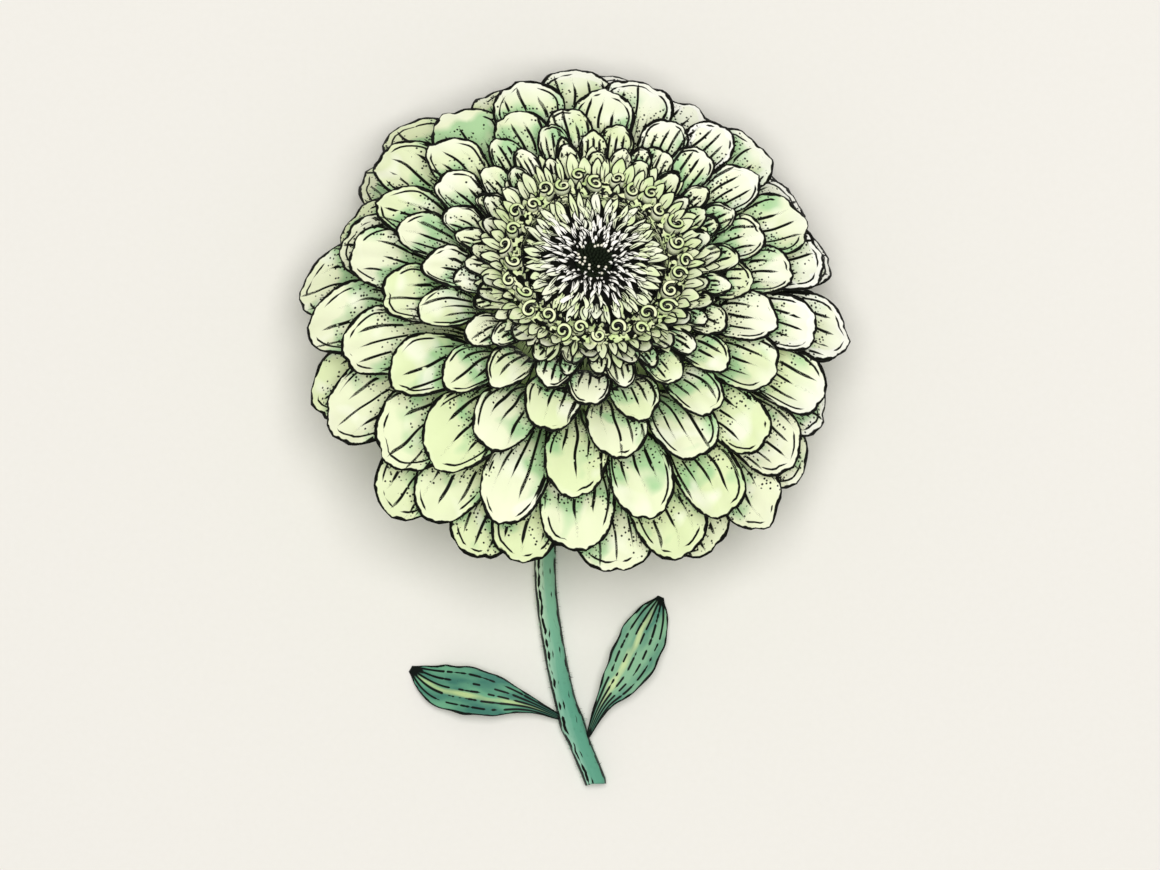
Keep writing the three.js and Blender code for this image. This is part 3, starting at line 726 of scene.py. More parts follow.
# Green flesh: dull, with dark streaks that run up it, about half a millimetre apart and 4 mm long.
green_flesh, tree = finish_of("green_flesh")
(lie,) = marks_of(tree, "lie")
stretch = node(tree, "CombineXYZ", {0: lie[0], 1: lie[1]})
streak = node(tree, "TexNoise", {"Vector": stretch, "Scale": 1.1, "Detail": 2.0})
streaked = node(tree, "MapRange", {"Value": streak, "From Min": 0.56, "From Max": 0.6})
cloud = node(tree, "TexNoise", {"Vector": stretch, "Scale": 0.2, "Detail": 2.0})
wash = node(tree, "Mix", {0: cloud, 6: linear("#dbe7ab"), 7: linear("#a2c27c")}, out=2, data_type="RGBA")
inked_skin(tree, wash, streaked, "#22301b", roughness=0.7)
core.piece("ray_petals_receptacle", green_flesh, "ray_petals")


# The dark middle of the eye: a low cap packed with unopened buds, nearly black. A few tips have
# begun to open and show as cream specks.
EYE_HEIGHT = 29.4
DARK_RADIUS = 3.4
DARK_FOOT = 27.3
BUD_COUNT = 90
BUD_SHAPE = [(0.1, -0.7), (0.27, -0.3), (0.31, 0.15), (0.24, 0.5), (0.05, 0.75)]

cap_line = [(DARK_RADIUS - 0.1, DARK_FOOT), (DARK_RADIUS, 28.6), (DARK_RADIUS * 0.9, 29)]
cap_line += [(1.8, 29.3), (0.2, EYE_HEIGHT)]
cap_points, cap_faces = turned(cap_line, sides=40)
eye = Grown()
eye.add(posed(cap_points), cap_faces, {"lie": cap_points, "tint": 0 * cap_points})
bud_points, bud_faces = turned(BUD_SHAPE, sides=7)
bud_height = bud_points[:, 2]
for i in range(BUD_COUNT):
    share = math.sqrt((i + 0.5) / BUD_COUNT)
    lean = Matrix.Rotation(0.5 * share, 4, "Y")
    place = Matrix.Translation((0.9 * DARK_RADIUS * share, 0, EYE_HEIGHT + 0.35 - 0.5 * share**3))
    bud_pose = Matrix.Rotation(i * GOLDEN_ANGLE, 4, "Z") @ place @ lean
    grown_bud = posed(bud_points, bud_pose)
    open_tip = 1.0 if scatter(i, 41) > 0.6 and share > 0.5 else 0.0
    tint = np.stack([open_tip + 0 * bud_height, bud_height, 0 * bud_height], 1)
    eye.add(posed(grown_bud), bud_faces, {"lie": grown_bud, "tint": tint})

# Bud skin: matt and nearly black, with a green cast. The open tips are dry and cream.
black_buds, tree = finish_of("black_buds")
(tint,) = marks_of(tree, "tint")
tip = node(tree, "MapRange", {"Value": tint[1], "From Min": 0.3, "From Max": 0.5})
tip = node(tree, "Math", {0: tip, 1: tint[0]}, operation="MULTIPLY")
place = node(tree, "Attribute", out="Vector", attribute_name="lie")
mottle = node(tree, "TexNoise", {"Vector": place, "Scale": 1.5})
dark = node(tree, "Mix", {0: mottle, 6: linear("#0d100a"), 7: linear("#1f2a19")}, out=2, data_type="RGBA")
skin = node(tree, "Mix", {0: tip, 6: dark, 7: linear("#f2eeda")}, out=2, data_type="RGBA")
matt = node(tree, "BsdfPrincipled", {"Base Color": skin, "Roughness": 0.85, "Specular IOR Level": 0.12})
node(tree, "OutputMaterial", {"Surface": matt})
eye.piece("dark_eye_buds", black_buds, "dark_eye")


# The chaff: dry bristles in a spiral on a low dome, mere specks round the dark middle and longer
# and wavy outwards, with broader and greener lobes at the ring. They are pale, and the dome
# between them is inked dark as painted shade.
CHAFF_REACH = 12.4
DOME_EDGE = CHAFF_REACH + 0.2
DOME_FOOT = SEAT_HEIGHT + 0.3
SPECK_COUNT = 90
BRISTLE_COUNT = 200
BRISTLE_THICKNESS = 0.22
LOBE_COUNT = 44
LOBE_THICKNESS = 0.3


def eye_height(radius):
    """The height of the dome at this radius."""
    return EYE_HEIGHT - 1.4 * (radius / CHAFF_REACH) ** 2


def lance_half_width(petal):
    """Narrow at the foot, widest past the middle, and bluntly pointed."""
    def half_width(share):
        foot = mix(0.5, 1.0, smooth(0, 0.55, share))
        point = np.clip((1 - share) / 0.35, 0, 1) ** 0.55
        return petal["width"] / 2 * foot * point
    return half_width


def speck(i):
    """The tip of a bristle that has barely opened, among the dark ones."""
    radius = mix(2.4, 6.4, (i + 0.5) / SPECK_COUNT) + 0.3 * scatter(i, 34)
    length = 0.8 + 0.35 * scatter(i, 35)
    foot = Vector((radius, eye_height(radius) + 0.1))
    return {
        "curve": (foot, foot + Vector((0.3 * length, 0.7)), foot + Vector((length, 0.6))),
        "angle": i * GOLDEN_ANGLE + 0.2 * scatter(i, 36),
        "width": 0.5 + 0.12 * scatter(i, 37),
        "number": i,
        "tint": (0.0, 0.2, 0.0),
    }


def bristle(i):
    """The curve of one bristle from its foot on the dome, its turn and its width."""
    share = (i + 0.5) / BRISTLE_COUNT
    radius = mix(3.6, 9.4, share) + 0.3 * scatter(i, 41)
    length = mix(1.6, 5.2, share**0.6) * (1 + 0.25 * scatter(i, 42))
    foot = Vector((radius, eye_height(radius) - 0.3))
    reach = min(radius + length, DOME_EDGE)
    tip = Vector((reach, eye_height(reach) + 0.7 + 0.35 * scatter(i, 43)))
    return {
        "curve": (foot, foot + Vector((0.35 * length, 1.3)), tip),
        "angle": i * GOLDEN_ANGLE + 0.08 * scatter(i, 44),
        "width": mix(0.6, 0.98, share) * (1 + 0.25 * scatter(i, 45)),
        "wander": mix(0.2, 0.4, share) * (1 + 0.5 * scatter(i, 49)),
        "sweep": 0.6 * scatter(i, 50),
        "roll": 0.25 * scatter(i, 46),
        "number": 100 + i,
        "tint": (smooth(0.2, 0.9, share + 0.25 * scatter(i, 47)), 0.6 + 0.5 * scatter(i, 48), 1.0),
    }


def lobe(i):
    """The broad lobes that reach from the bristles to the curled florets."""
    foot = Vector((8.6 + 1.0 * scatter(i, 51), 28.2))
    tip = Vector((13.1 + 0.9 * scatter(i, 52), 29.5 + 0.4 * scatter(i, 53)))
    return {
        "curve": (foot, foot.lerp(tip, 0.5) + Vector((-0.3, 0.8)), tip),
        "angle": (i + 0.35 * scatter(i, 54)) / LOBE_COUNT * 2 * math.pi,
        "width": 1.7 + 0.6 * scatter(i, 55),
        "wander": 0.3 * scatter(i, 59),
        "sweep": 0.7 * scatter(i, 60),
        "roll": 0.2 * scatter(i, 56),
        "number": 400 + i,
        "tint": (0.7 + 0.3 * scatter(i, 57), 2.0 + 0.6 * scatter(i, 58), 0.0),
    }


def add_blades(gathered, blades, thickness, rows, rings):
    """Small pointed blades. Their marks are lie, as a petal's, edge: how far along a point lies, as
    a share, and its distance to the margin, and tint: how green, how broadly inked, and 1 where
    more of the foot is painted dark as shade."""
    for blade in blades:
        one = grow_petal(blade, thickness, lance_half_width, rows, rings)
        x, y, margin, _ = one["flat"]
        gathered.add(one["points"], one["faces"], {
            "lie": on_both_sides(x, y, blade["number"]),
            "edge": on_both_sides(y / blade["length"], margin, 0),
            "tint": np.tile(blade["tint"], (2 * len(x), 1)),
        })


dome_line = [(0.5, DOME_FOOT), (DOME_EDGE, DOME_FOOT), (DOME_EDGE, 26.6)]
dome_line += [(radius, eye_height(radius)) for radius in (12, 11, 10, 9, 8, 7, 6, 5, 4.2, 3.7)]
dome_line += [(3.7, 27.0), (0.5, 27.0)]
dome_points, dome_faces = turned(dome_line, sides=72)
# A distance of -1 mm to the margin inks the dome all over, as painted shade between the bristles.
painted_shade_ink = np.tile([1.0, -1.0, 0.0], (len(dome_points), 1))
chaff = Grown()
chaff.add(posed(dome_points), dome_faces, {"lie": dome_points, "edge": painted_shade_ink, "tint": 0 * dome_points})
add_blades(chaff, [speck(i) for i in range(SPECK_COUNT)], BRISTLE_THICKNESS, rows=5, rings=(0.5, 1))
add_blades(chaff, [bristle(i) for i in range(BRISTLE_COUNT)], BRISTLE_THICKNESS, rows=12, rings=(0.5, 1))
add_blades(chaff, [lobe(i) for i in range(LOBE_COUNT)], LOBE_THICKNESS, rows=12, rings=(0.4, 0.75, 1))


def bristle_finish(name, pale, green, deep):
    """Dry papery skin: matt, cream to lime, with inked margins 0.1 to 0.3 mm wide, a crease down
    the middle and a foot painted dark as shade."""
    material, tree = finish_of(name)
    lie, edge, tint = marks_of(tree, "lie", "edge", "tint")
    along = edge[0]
    spot = own_spot(tree, lie, apart=7.31)
    cloud = node(tree, "TexNoise", {"Vector": spot, "Scale": 0.4, "Detail": 1.0})
    cloud = node(tree, "MapRange", {"Value": cloud, "From Min": 0.35, "From Max": 0.65})
    lime = node(tree, "Mix", {0: cloud, 6: linear(green), 7: linear(deep)}, out=2, data_type="RGBA")
    wash = node(tree, "Mix", {0: tint[0], 6: linear(pale), 7: lime}, out=2, data_type="RGBA")
    width = node(tree, "MapRange", {"Value": tint[1], "To Min": 0.04, "To Max": 0.13}, clamp=False)
    rim = pen_line(tree, edge[1], width, soft=0.04)
    # Painted shade: the foot of each blade is dark where it meets the dome.
    foot = node(tree, "MapRange", {"Value": tint[2], "To Min": 0.1, "To Max": 0.26})
    foot = node(tree, "Math", {0: along, 1: foot}, operation="LESS_THAN")
    middle = node(tree, "Math", {0: lie[0]}, operation="ABSOLUTE")
    end = node(tree, "MapRange", {"Value": tint[1], "To Min": 0.45, "To Max": 0.75})
    left = node(tree, "Math", {0: end, 1: along}, operation="SUBTRACT")
    width = node(tree, "MapRange", {"Value": left, "From Max": 0.2, "To Min": -0.1, "To Max": 0.1})
    crease = pen_line(tree, middle, width, soft=0.04)
    inked_skin(tree, wash, darkest(tree, rim, foot, crease), "#0c0d08", roughness=0.75)
    return material


cream_chaff = bristle_finish("dry_cream_chaff", "#fefcf3", "#ebf1c8", "#d6e6aa")
chaff.piece("disc_chaff_bristles", cream_chaff, "disc_chaff")


# The curled florets: a ring of silky ribbons, each rolled up on end a little over one turn and
# standing in two rows on the edge of the disc. Short slips of the same tissue fill in between.
CURL_COUNT = 29
CURL_RING = 15.1
CURL_FOOT = 27.9
CURL_STEPS = 44
SECTION_POINTS = 8
RING_INSIDE = DOME_EDGE + 0.3


def curl_section(half, height):
    """Across the ribbon: offset, height, distance inside the rim, and 1 on its inner wall."""
    return np.array([
        (half, 0, -3, 0), (half, height - 0.35, -0.35, 0), (0.84 * half, height - 0.06, 0, 0),
        (0.4 * half, height, 0.44 * half, 0), (-0.4 * half, height, 0.44 * half, 0),
        (-0.84 * half, height - 0.06, 0, 0), (-half, height - 0.35, -0.35, 1), (-half, 0, -3, 1),
    ])


def rolled_floret(i):
    """A ribbon wound inwards, on its foot at the middle of the ring's width, and its marks."""
    radius = 1.42 * (1 + 0.2 * scatter(i, 12))
    tall = 3.4 + 0.4 * scatter(i, 13)
    turns = 1.2 + 0.2 * scatter(i, 61)
    oval = 1 + 0.14 * scatter(i, 15)
    points, lie, edge, faces = [], [], [], []
    for k in range(CURL_STEPS + 1):
        share = k / CURL_STEPS
        from_end = min(share, 1 - share) / 0.03
        blunt = math.sqrt(max(1 - (1 - from_end) ** 2, 0.04)) if from_end < 1 else 1
        section = curl_section(0.43 * mix(1, 0.75, share) * blunt, tall - 0.35 * share)
        reach = mix(radius, 0.3, share**0.9) + section[:, 0]
        angle = share * turns * 2 * math.pi
        height = section[:, 1]
        points.append(np.stack([reach * math.cos(angle) * oval, reach * math.sin(angle) / oval, height], 1))
        lie.append(np.stack([share * turns * 5.6 + 0 * height, height, i + 0 * height], 1))
        edge.append(np.stack([section[:, 2], section[:, 3], 0 * height], 1))
    for k in range(CURL_STEPS):
        for side in range(SECTION_POINTS):
            a = SECTION_POINTS * k + side
            b = SECTION_POINTS * k + (side + 1) % SECTION_POINTS
            faces.append((a, a + SECTION_POINTS, b + SECTION_POINTS, b))
    last = SECTION_POINTS * CURL_STEPS
    faces += [tuple(range(SECTION_POINTS)), tuple(reversed(range(last, last + SECTION_POINTS)))]
    return np.concatenate(points), faces, {"lie": np.concatenate(lie), "edge": np.concatenate(edge)}


ring_line = [(RING_INSIDE, DOME_FOOT), (14.4, DOME_FOOT), (15.6, 26.4), (16.7, 29)]
ring_line += [(15, 29.3), (RING_INSIDE, 29.1), (RING_INSIDE, DOME_FOOT)]
ring_points, ring_faces = turned(ring_line, sides=72)
# The ring has no rim to ink. The 1 marks it for the dark flecks of painted shade between the rolls.
ring_edge = np.tile([5.0, 0.0, 1.0], (len(ring_points), 1))
curls = Grown()
curls.add(posed(ring_points), ring_faces[2:], {"lie": ring_points, "edge": ring_edge})
for i in range(CURL_COUNT):
    row = 1 if i % 2 else -1
    angle = (i + 0.16 * scatter(i, 11)) / CURL_COUNT * 2 * math.pi
    floret_points, floret_faces, floret_marks = rolled_floret(i)
    floret_pose = (
        Matrix.Rotation(angle, 4, "Z")
        @ Matrix.Translation((CURL_RING + 0.5 * row + 0.3 * scatter(i, 16), 0, CURL_FOOT))
        @ Matrix.Rotation(math.radians(6 + 3 * row + 6 * scatter(i, 17)), 4, "Y")
        @ Matrix.Rotation(math.pi * scatter(i, 14), 4, "Z")
    )
    curls.add(posed(posed(floret_points, floret_pose)), floret_faces, floret_marks)

# Silky floret skin: lime, with an inked line of half a millimetre along each rim, and walls that
# are painted paler as light. It is painted dark as shade inside the roll and at its foot, and in
# flecks between the rolls. The two marks are the distance inside the rim, in edge, and the place
# along the ribbon and up it, in lie.
silky_floret, tree = finish_of("silky_rolled_floret")
lie, edge = marks_of(tree, "lie", "edge")
spot = own_spot(tree, lie, apart=5.17)
cloud = node(tree, "TexNoise", {"Vector": spot, "Scale": 0.3, "Detail": 1.0})
cloud = node(tree, "MapRange", {"Value": cloud, "From Min": 0.4, "From Max": 0.62})
wash = node(tree, "Mix", {0: cloud, 6: linear("#eef3c6"), 7: linear("#cfe3a0")}, out=2, data_type="RGBA")
# Painted light: the walls below the rim are paler.
below = node(tree, "MapRange", {
    "Value": edge[0], "From Min": -0.5, "From Max": -0.2, "To Min": 0.6, "To Max": 0.0,
})
wash = node(tree, "Mix", {0: below, 6: wash, 7: linear("#f8fae2")}, out=2, data_type="RGBA")
off = node(tree, "Math", {0: edge[0], 1: 0.15}, operation="ADD")
off = node(tree, "Math", {0: off}, operation="ABSOLUTE")
rim = pen_line(tree, off, 0.27, soft=0.04)
# Painted shade: the inner wall of the roll is dark below its rim.
roll_inside_shade = node(tree, "MapRange", {
    "Value": edge[0], "From Min": -0.6, "From Max": -0.3, "To Min": 1.0, "To Max": 0.0,
})
roll_inside_shade = node(tree, "Math", {0: roll_inside_shade, 1: edge[1]}, operation="MULTIPLY")
# Painted shade: the walls darken towards the foot of the roll.
low = node(tree, "MapRange", {
    "Value": edge[0], "From Min": -2.0, "From Max": -1.2, "To Min": 1.0, "To Max": 0.0,
})
# Painted shade: dark flecks on the ring between the rolls.
shade_flecks = node(tree, "TexNoise", {"Vector": spot, "Scale": 0.9, "Detail": 1.0})
shade_flecks = node(tree, "MapRange", {"Value": shade_flecks, "From Min": 0.47, "From Max": 0.5})
shade_flecks = node(tree, "Math", {0: shade_flecks, 1: edge[2]}, operation="MULTIPLY")
inked_skin(tree, wash, darkest(tree, rim, roll_inside_shade, low, shade_flecks), "#0c0d08", roughness=0.6)
curls.piece("curled_florets_rolls", silky_floret, "curled_florets")

# The slips are straps that stand inside the rolls, between them, or lean out over the gap to the
# petals. Each kind has its place on the ring, how far that varies, its lean, its top and width.
SLIP_COUNT = 220
SLIP_THICKNESS = 0.3
SLIP_FOOT = 27.6
SLIP_KINDS = [
    (13.3, 0.2, -0.35, 30.6, 1.3),
    (14.9, 1.1, 1.2, 30.9, 1.5),
    (16.2, 0.3, 3.6, 30.7, 2.2),
    (17, 0.3, 4.8, 29.8, 2.7),
]


def slip(i):
    """The curve of one slip, its turn, width and tint."""
    out, spread, lean, top, width = SLIP_KINDS[i % len(SLIP_KINDS)]
    foot = Vector((out + spread * scatter(i, 62), SLIP_FOOT))
    tip = Vector((foot[0] + lean * (1 + 0.3 * scatter(i, 63)), top + 0.4 * scatter(i, 64)))
    return {
        "curve": (foot, Vector((foot[0] + 0.15 * lean, top - 1.1)), tip),
        "angle": (i + 0.8 * scatter(i, 65)) / SLIP_COUNT * 2 * math.pi,
        "width": width * (1 + 0.3 * scatter(i, 66)),
        "roll": 0.3 * scatter(i, 67),
        "number": 900 + i,
        "tint": (0.75 + 0.25 * scatter(i, 68), 2.3 + 0.6 * scatter(i, 69), 0.0),
    }


slips = Grown()
add_blades(slips, [slip(i) for i in range(SLIP_COUNT)], SLIP_THICKNESS, rows=10, rings=(0.5, 1))
lime_slip = bristle_finish("silky_lime_slip", "#f8f8e0", "#e9f0c2", "#cde1a2")
slips.piece("curled_florets_slips", lime_slip, "curled_florets")


# The cup behind the petals: a leathery bell whose outside is covered by three tiers of blunt
# scales that overlap downwards, mid green with a thin dark margin.
def walked_along(line):
    """How far along the line each of its points lies."""
    return np.concatenate([[0], np.cumsum(np.linalg.norm(np.diff(line, axis=0), axis=1))])


def points_on(line, stops):
    """The points of a line at these distances along it."""
    walked = walked_along(line)
    return np.stack([np.interp(stops, walked, column) for column in line.T], -1)


def two_sheets(rows, columns):
    """The faces of a thin solid. Its points are a grid for the upper side, then one for the under."""
    faces, under = [], (rows + 1) * columns
    for row in range(rows):
        for column in range(columns - 1):
            v = row * columns + column
            quad = (v, v + 1, v + 1 + columns, v + columns)
            faces += [quad, tuple(under + k for k in reversed(quad))]
    rim = [row * columns for row in range(rows, 0, -1)] + list(range(columns))
    rim += [row * columns + columns - 1 for row in range(1, rows + 1)]
    rim += list(range(under - 2, under - columns, -1))
    for a, b in zip(rim, rim[1:] + rim[:1]):
        faces.append((b, a, under + a, under + b))
    return faces


CUP_TOP = -4.3
CUP_BOTTOM = -14
CUP_LINE = [(3, CUP_BOTTOM), (6.6, -12.6), (10.2, -9.2), (11.9, CUP_TOP)]
TIER_COUNT = 3
SCALES_PER_TIER = 8
SCALE_ROWS, SCALE_COLUMNS = 10, 9
SCALE_LENGTH = 5

cup_line = smooth_line(CUP_LINE, steps=6)
cup_length = walked_along(cup_line)[-1]
cup_points, cup_faces = turned([(0.5, CUP_BOTTOM), *cup_line, (0.5, CUP_TOP)], sides=64)
cup_turn, cup_height = np.arctan2(cup_points[:, 1], cup_points[:, 0]), cup_points[:, 2]
cup = Grown()
cup.add(posed(cup_points), cup_faces, {
    "lie": np.stack([cup_turn * 10, cup_height, 0 * cup_height], 1),
    "edge": np.tile([0.0, 3.0, 0.0], (len(cup_points), 1)),
})


def grow_scale(tier, i):
    """A blunt scale that lies on the bell and stands a little proud at its upper end."""
    angle = (i + 0.5 * tier) / SCALES_PER_TIER * 2 * math.pi
    # Its place and length on the bell are shares of the bell's, and its half width a share of
    # its turn round it.
    start, length, half = 0.2 + 0.25 * tier, 0.27, 0.52
    points, lie, edge = [], [], []
    for side in (1, -1):
        for row in range(SCALE_ROWS + 1):
            along = row / SCALE_ROWS
            down = start + length * along
            middle = points_on(cup_line, down * cup_length)
            steep = points_on(cup_line, (down + 0.02) * cup_length) - middle
            steep /= np.linalg.norm(steep)
            wide = half * math.sqrt(max(1 - max(along - 0.45, 0) ** 2 / 0.3025, 0.0001))
            breadth = wide * 2 * math.pi / SCALES_PER_TIER * middle[0]
            for column in range(SCALE_COLUMNS):
                across = 2 * column / (SCALE_COLUMNS - 1) - 1
                proud = mix(-0.2, 0.75, float(smooth(0, 0.6, along))) * (1 - 0.6 * across**2)
                proud += 0.2 * side * math.sqrt(max(1 - across**2, 0.02))
                turn = angle + across * wide * 2 * math.pi / SCALES_PER_TIER
                reach = middle[0] + steep[1] * proud
                height = middle[1] - steep[0] * proud
                points.append((reach * math.cos(turn), reach * math.sin(turn), height))
                margin = min((1 - abs(across)) * breadth, (1 - along) * SCALE_LENGTH)
                lie.append((across * breadth, along * SCALE_LENGTH, tier * SCALES_PER_TIER + i))
                edge.append((0, margin, 0))
    cup.add(posed(points), two_sheets(SCALE_ROWS, SCALE_COLUMNS), {"lie": lie, "edge": edge})


for tier in range(TIER_COUNT):
    for i in range(SCALES_PER_TIER):
        grow_scale(tier, i)

# Scale skin: leathery and matt, mid green, with a dark line of 0.3 mm round each scale.
leathery_scale, tree = finish_of("leathery_green_scale")
lie, edge = marks_of(tree, "lie", "edge")
spot = own_spot(tree, lie, apart=3.1)
cloud = node(tree, "TexNoise", {"Vector": spot, "Scale": 0.3, "Detail": 2.0})
wash = node(tree, "Mix", {0: cloud, 6: linear("#9cc07a"), 7: linear("#57865b")}, out=2, data_type="RGBA")
inked_skin(tree, wash, pen_line(tree, edge[1], 0.28), "#1b2417", roughness=0.6)
cup.piece("scale_cup_scales", leathery_scale, "scale_cup")


# The stem: a firm ribbed stalk that leaves the cup along the flower's axis, bends at the neck and
# lies along the table to its cut end. It swells where the pair of leaves is joined.
NECK_TOP = -14.3
NECK_RADIUS = 2.5
NECK_BEND = 6.8
STEEPEST = math.pi / 2 - HEAD_LEAN
NECK_SLOPES = (STEEPEST, 0.733, 0.3665, 0)
STEM_RADIUS = 1.95
STEM_CUT = -81.6
STEM_RINGS, STEM_SIDES = 260, 40
LEAF_JOINT = 0.85  # the share of the stem's length where the leaves are joined


def neck_point(slope):
    """Where the neck's bend has this slope: an arc from the flower's axis down to level."""
    forward = NECK_BEND * (math.sin(STEEPEST) - math.sin(slope))
    drop = NECK_BEND * (math.cos(slope) - math.cos(STEEPEST))
    start = posed([(0, 0, NECK_TOP - 0.8)])[0]
    return start - np.array([forward * math.sin(LEAN_HEADING), forward * math.cos(LEAN_HEADING), drop])


def beside_rim(points):
    """Points of the stem and the leaves, given from the middle of the rim as seen from above."""
    return [np.array(p) + (*RIM_CENTRE[:2], 0) for p in points]


STEM_LYING = [(-5.1, -28, 2.4), (-5.9, -43.3, 2.3), (-4.5, -55.7, 2.3)]
STEM_LYING += [(-1.7, -68.4, 2.2), (3.4, STEM_CUT, 1.85)]
stem_knots = [posed([(0, 0, NECK_TOP)])[0], *(neck_point(slope) for slope in NECK_SLOPES)]
stem_line = smooth_line(stem_knots + beside_rim(STEM_LYING), steps=30)
walk = np.linspace(0, walked_along(stem_line)[-1], STEM_RINGS + 1)
centre = points_on(stem_line, walk)
ahead = np.gradient(centre, axis=0)
ahead /= np.linalg.norm(ahead, axis=1, keepdims=True)
side = np.cross(ahead, (0, 0, 1))
side /= np.linalg.norm(side, axis=1, keepdims=True)
above = np.cross(side, ahead)
along = walk / walk[-1]
swell = STEM_RADIUS + (NECK_RADIUS - STEM_RADIUS) * np.exp(-along * 9)
swell += 0.35 * np.exp(-(((along - LEAF_JOINT) / 0.03) ** 2))
turns = np.linspace(-np.pi, np.pi, STEM_SIDES, endpoint=False)
ribbed = swell[:, None] * (1 + 0.018 * np.cos(8 * turns))
stem_points = centre[:, None] + ribbed[:, :, None] * (
    np.cos(turns)[None, :, None] * above[:, None] + np.sin(turns)[None, :, None] * side[:, None]
)
stem_points[-1, :, 1] = STEM_CUT + RIM_CENTRE[1]
stem_points = stem_points.reshape(-1, 3)
stem_points[:, 2] = np.maximum(stem_points[:, 2], 0)
last = STEM_RINGS * STEM_SIDES
stem_faces = [tuple(range(STEM_SIDES)), tuple(reversed(range(last, last + STEM_SIDES)))]
for k in range(STEM_RINGS):
    for step in range(STEM_SIDES):
        a, b = k * STEM_SIDES + step, k * STEM_SIDES + (step + 1) % STEM_SIDES
        stem_faces.append((a, a + STEM_SIDES, b + STEM_SIDES, b))
# The stem's mark: round it and along it in mm, and the turn from its top, which is pi underneath.
signed = np.where(turns < 0.01 - np.pi, np.pi, turns)[None, :] + 0 * walk[:, None]
stem_lie = np.stack([signed * swell[:, None], walk[:, None] + 0 * signed, signed], 2).reshape(-1, 3)
stem = Grown()
stem.add(stem_points, stem_faces, {"lie": stem_lie})

# Short stiff hairs stand on the stalk, about 0.4 to 0.8 mm long, on all sides but underneath.
HAIR_COUNT = 420
HAIR_RADIUS = 0.05
HAIR_CORNERS = (0, 2.09, 4.19)
HAIR_FACES = [(0, 2, 1), (0, 1, 3), (1, 2, 3), (2, 0, 3)]
for i in range(HAIR_COUNT):
    ring = int((0.5 + 0.5 * scatter(i, 81)) * (STEM_RINGS - 12)) + 6
    turn = 2.3 * scatter(i, 82)
    out = math.cos(turn) * above[ring] + math.sin(turn) * side[ring]
    foot = centre[ring] + out * (swell[ring] - HAIR_RADIUS)
    tip = centre[ring] + out * (swell[ring] + 0.55 + 0.2 * scatter(i, 83))
    tip = tip + ahead[ring] * 0.25 * scatter(i, 84)
    across = np.cross(out, ahead[ring])
    feet = [
        foot + HAIR_RADIUS * (math.cos(corner) * across + math.sin(corner) * ahead[ring])
        for corner in HAIR_CORNERS
    ]
    hair_lie = np.tile([turn * swell[ring], walk[ring], turn], (4, 1))
    stem.add(np.array([*feet, tip]), HAIR_FACES, {"lie": hair_lie})

# Stem skin: satin and blue-green, with painted light along the left. Broken dark strokes up to
# 0.6 mm wide run along it, most of them near its two sides, with thinner ones between and
# underneath. Each has its turn from the top, its half width in mm, and how broken it is.
STROKES = [
    (1.02, 0.28, 0.3),
    (1.28, 0.32, 0.2),
    (1.62, 0.2, 0.4),
    (-1.04, 0.22, 0.34),
    (-1.28, 0.32, 0.2),
    (-1.62, 0.2, 0.4),
    (0.62, 0.28, 0.4),
    (0.2, 0.16, 0.52),
    (-0.5, 0.14, 0.54),
    (2.1, 0.14, 0.46),
    (-2.1, 0.14, 0.46),
]
satin_stem, tree = finish_of("satin_blue_green_stem")
(lie,) = marks_of(tree, "lie")
drawn_out = node(tree, "Math", {0: lie[1], 1: 0.12}, operation="MULTIPLY")
spot = node(tree, "CombineXYZ", {0: lie[0], 1: drawn_out})
cloud = node(tree, "TexNoise", {"Vector": spot, "Scale": 0.6, "Detail": 2.0})
# Painted light: the left side of the stem is lighter.
lit_left_side = node(tree, "Math", {0: lie[2], 1: cloud}, operation="ADD")
light = node(tree, "MapRange", {"Value": lit_left_side, "From Min": 0.5, "From Max": 1.35})
down = node(tree, "MapRange", {"Value": lie[1], "From Min": 40.0, "From Max": 62.0})
upper = node(tree, "Mix", {0: light, 6: linear("#80b293"), 7: linear("#d6ebcb")}, out=2, data_type="RGBA")
lower = node(tree, "Mix", {0: light, 6: linear("#5c9a81"), 7: linear("#97c6ac")}, out=2, data_type="RGBA")
wash = node(tree, "Mix", {0: down, 6: upper, 7: lower}, out=2, data_type="RGBA")
wobble = node(tree, "CombineXYZ", {1: lie[1]})
wobble = node(tree, "TexNoise", {"Vector": wobble, "Scale": 0.35, "Detail": 2.0})
wobble = node(tree, "MapRange", {
    "Value": wobble, "From Min": 0.3, "From Max": 0.7, "To Min": -0.12, "To Max": 0.12,
})
lines = []
for turn, half_line, gaps in STROKES:
    away = node(tree, "Math", {0: lie[2], 1: turn}, operation="SUBTRACT")
    away = node(tree, "Math", {0: away, 1: wobble}, operation="ADD")
    away = node(tree, "Math", {0: away}, operation="ABSOLUTE")
    away = node(tree, "Math", {0: away, 1: STEM_RADIUS}, operation="MULTIPLY")
    dash = node(tree, "CombineXYZ", {0: turn * 9, 1: lie[1]})
    dash = node(tree, "TexNoise", {"Vector": dash, "Scale": 0.4, "Detail": 1.0})
    width = node(tree, "MapRange", {
        "Value": dash, "From Min": gaps, "From Max": gaps + 0.16, "To Min": -0.06, "To Max": half_line,
    })
    lines.append(pen_line(tree, away, width))
inked_skin(tree, wash, darkest(tree, *lines), "#0b100b", roughness=0.5)
stem.piece("stem_ribbed", satin_stem, "stem")


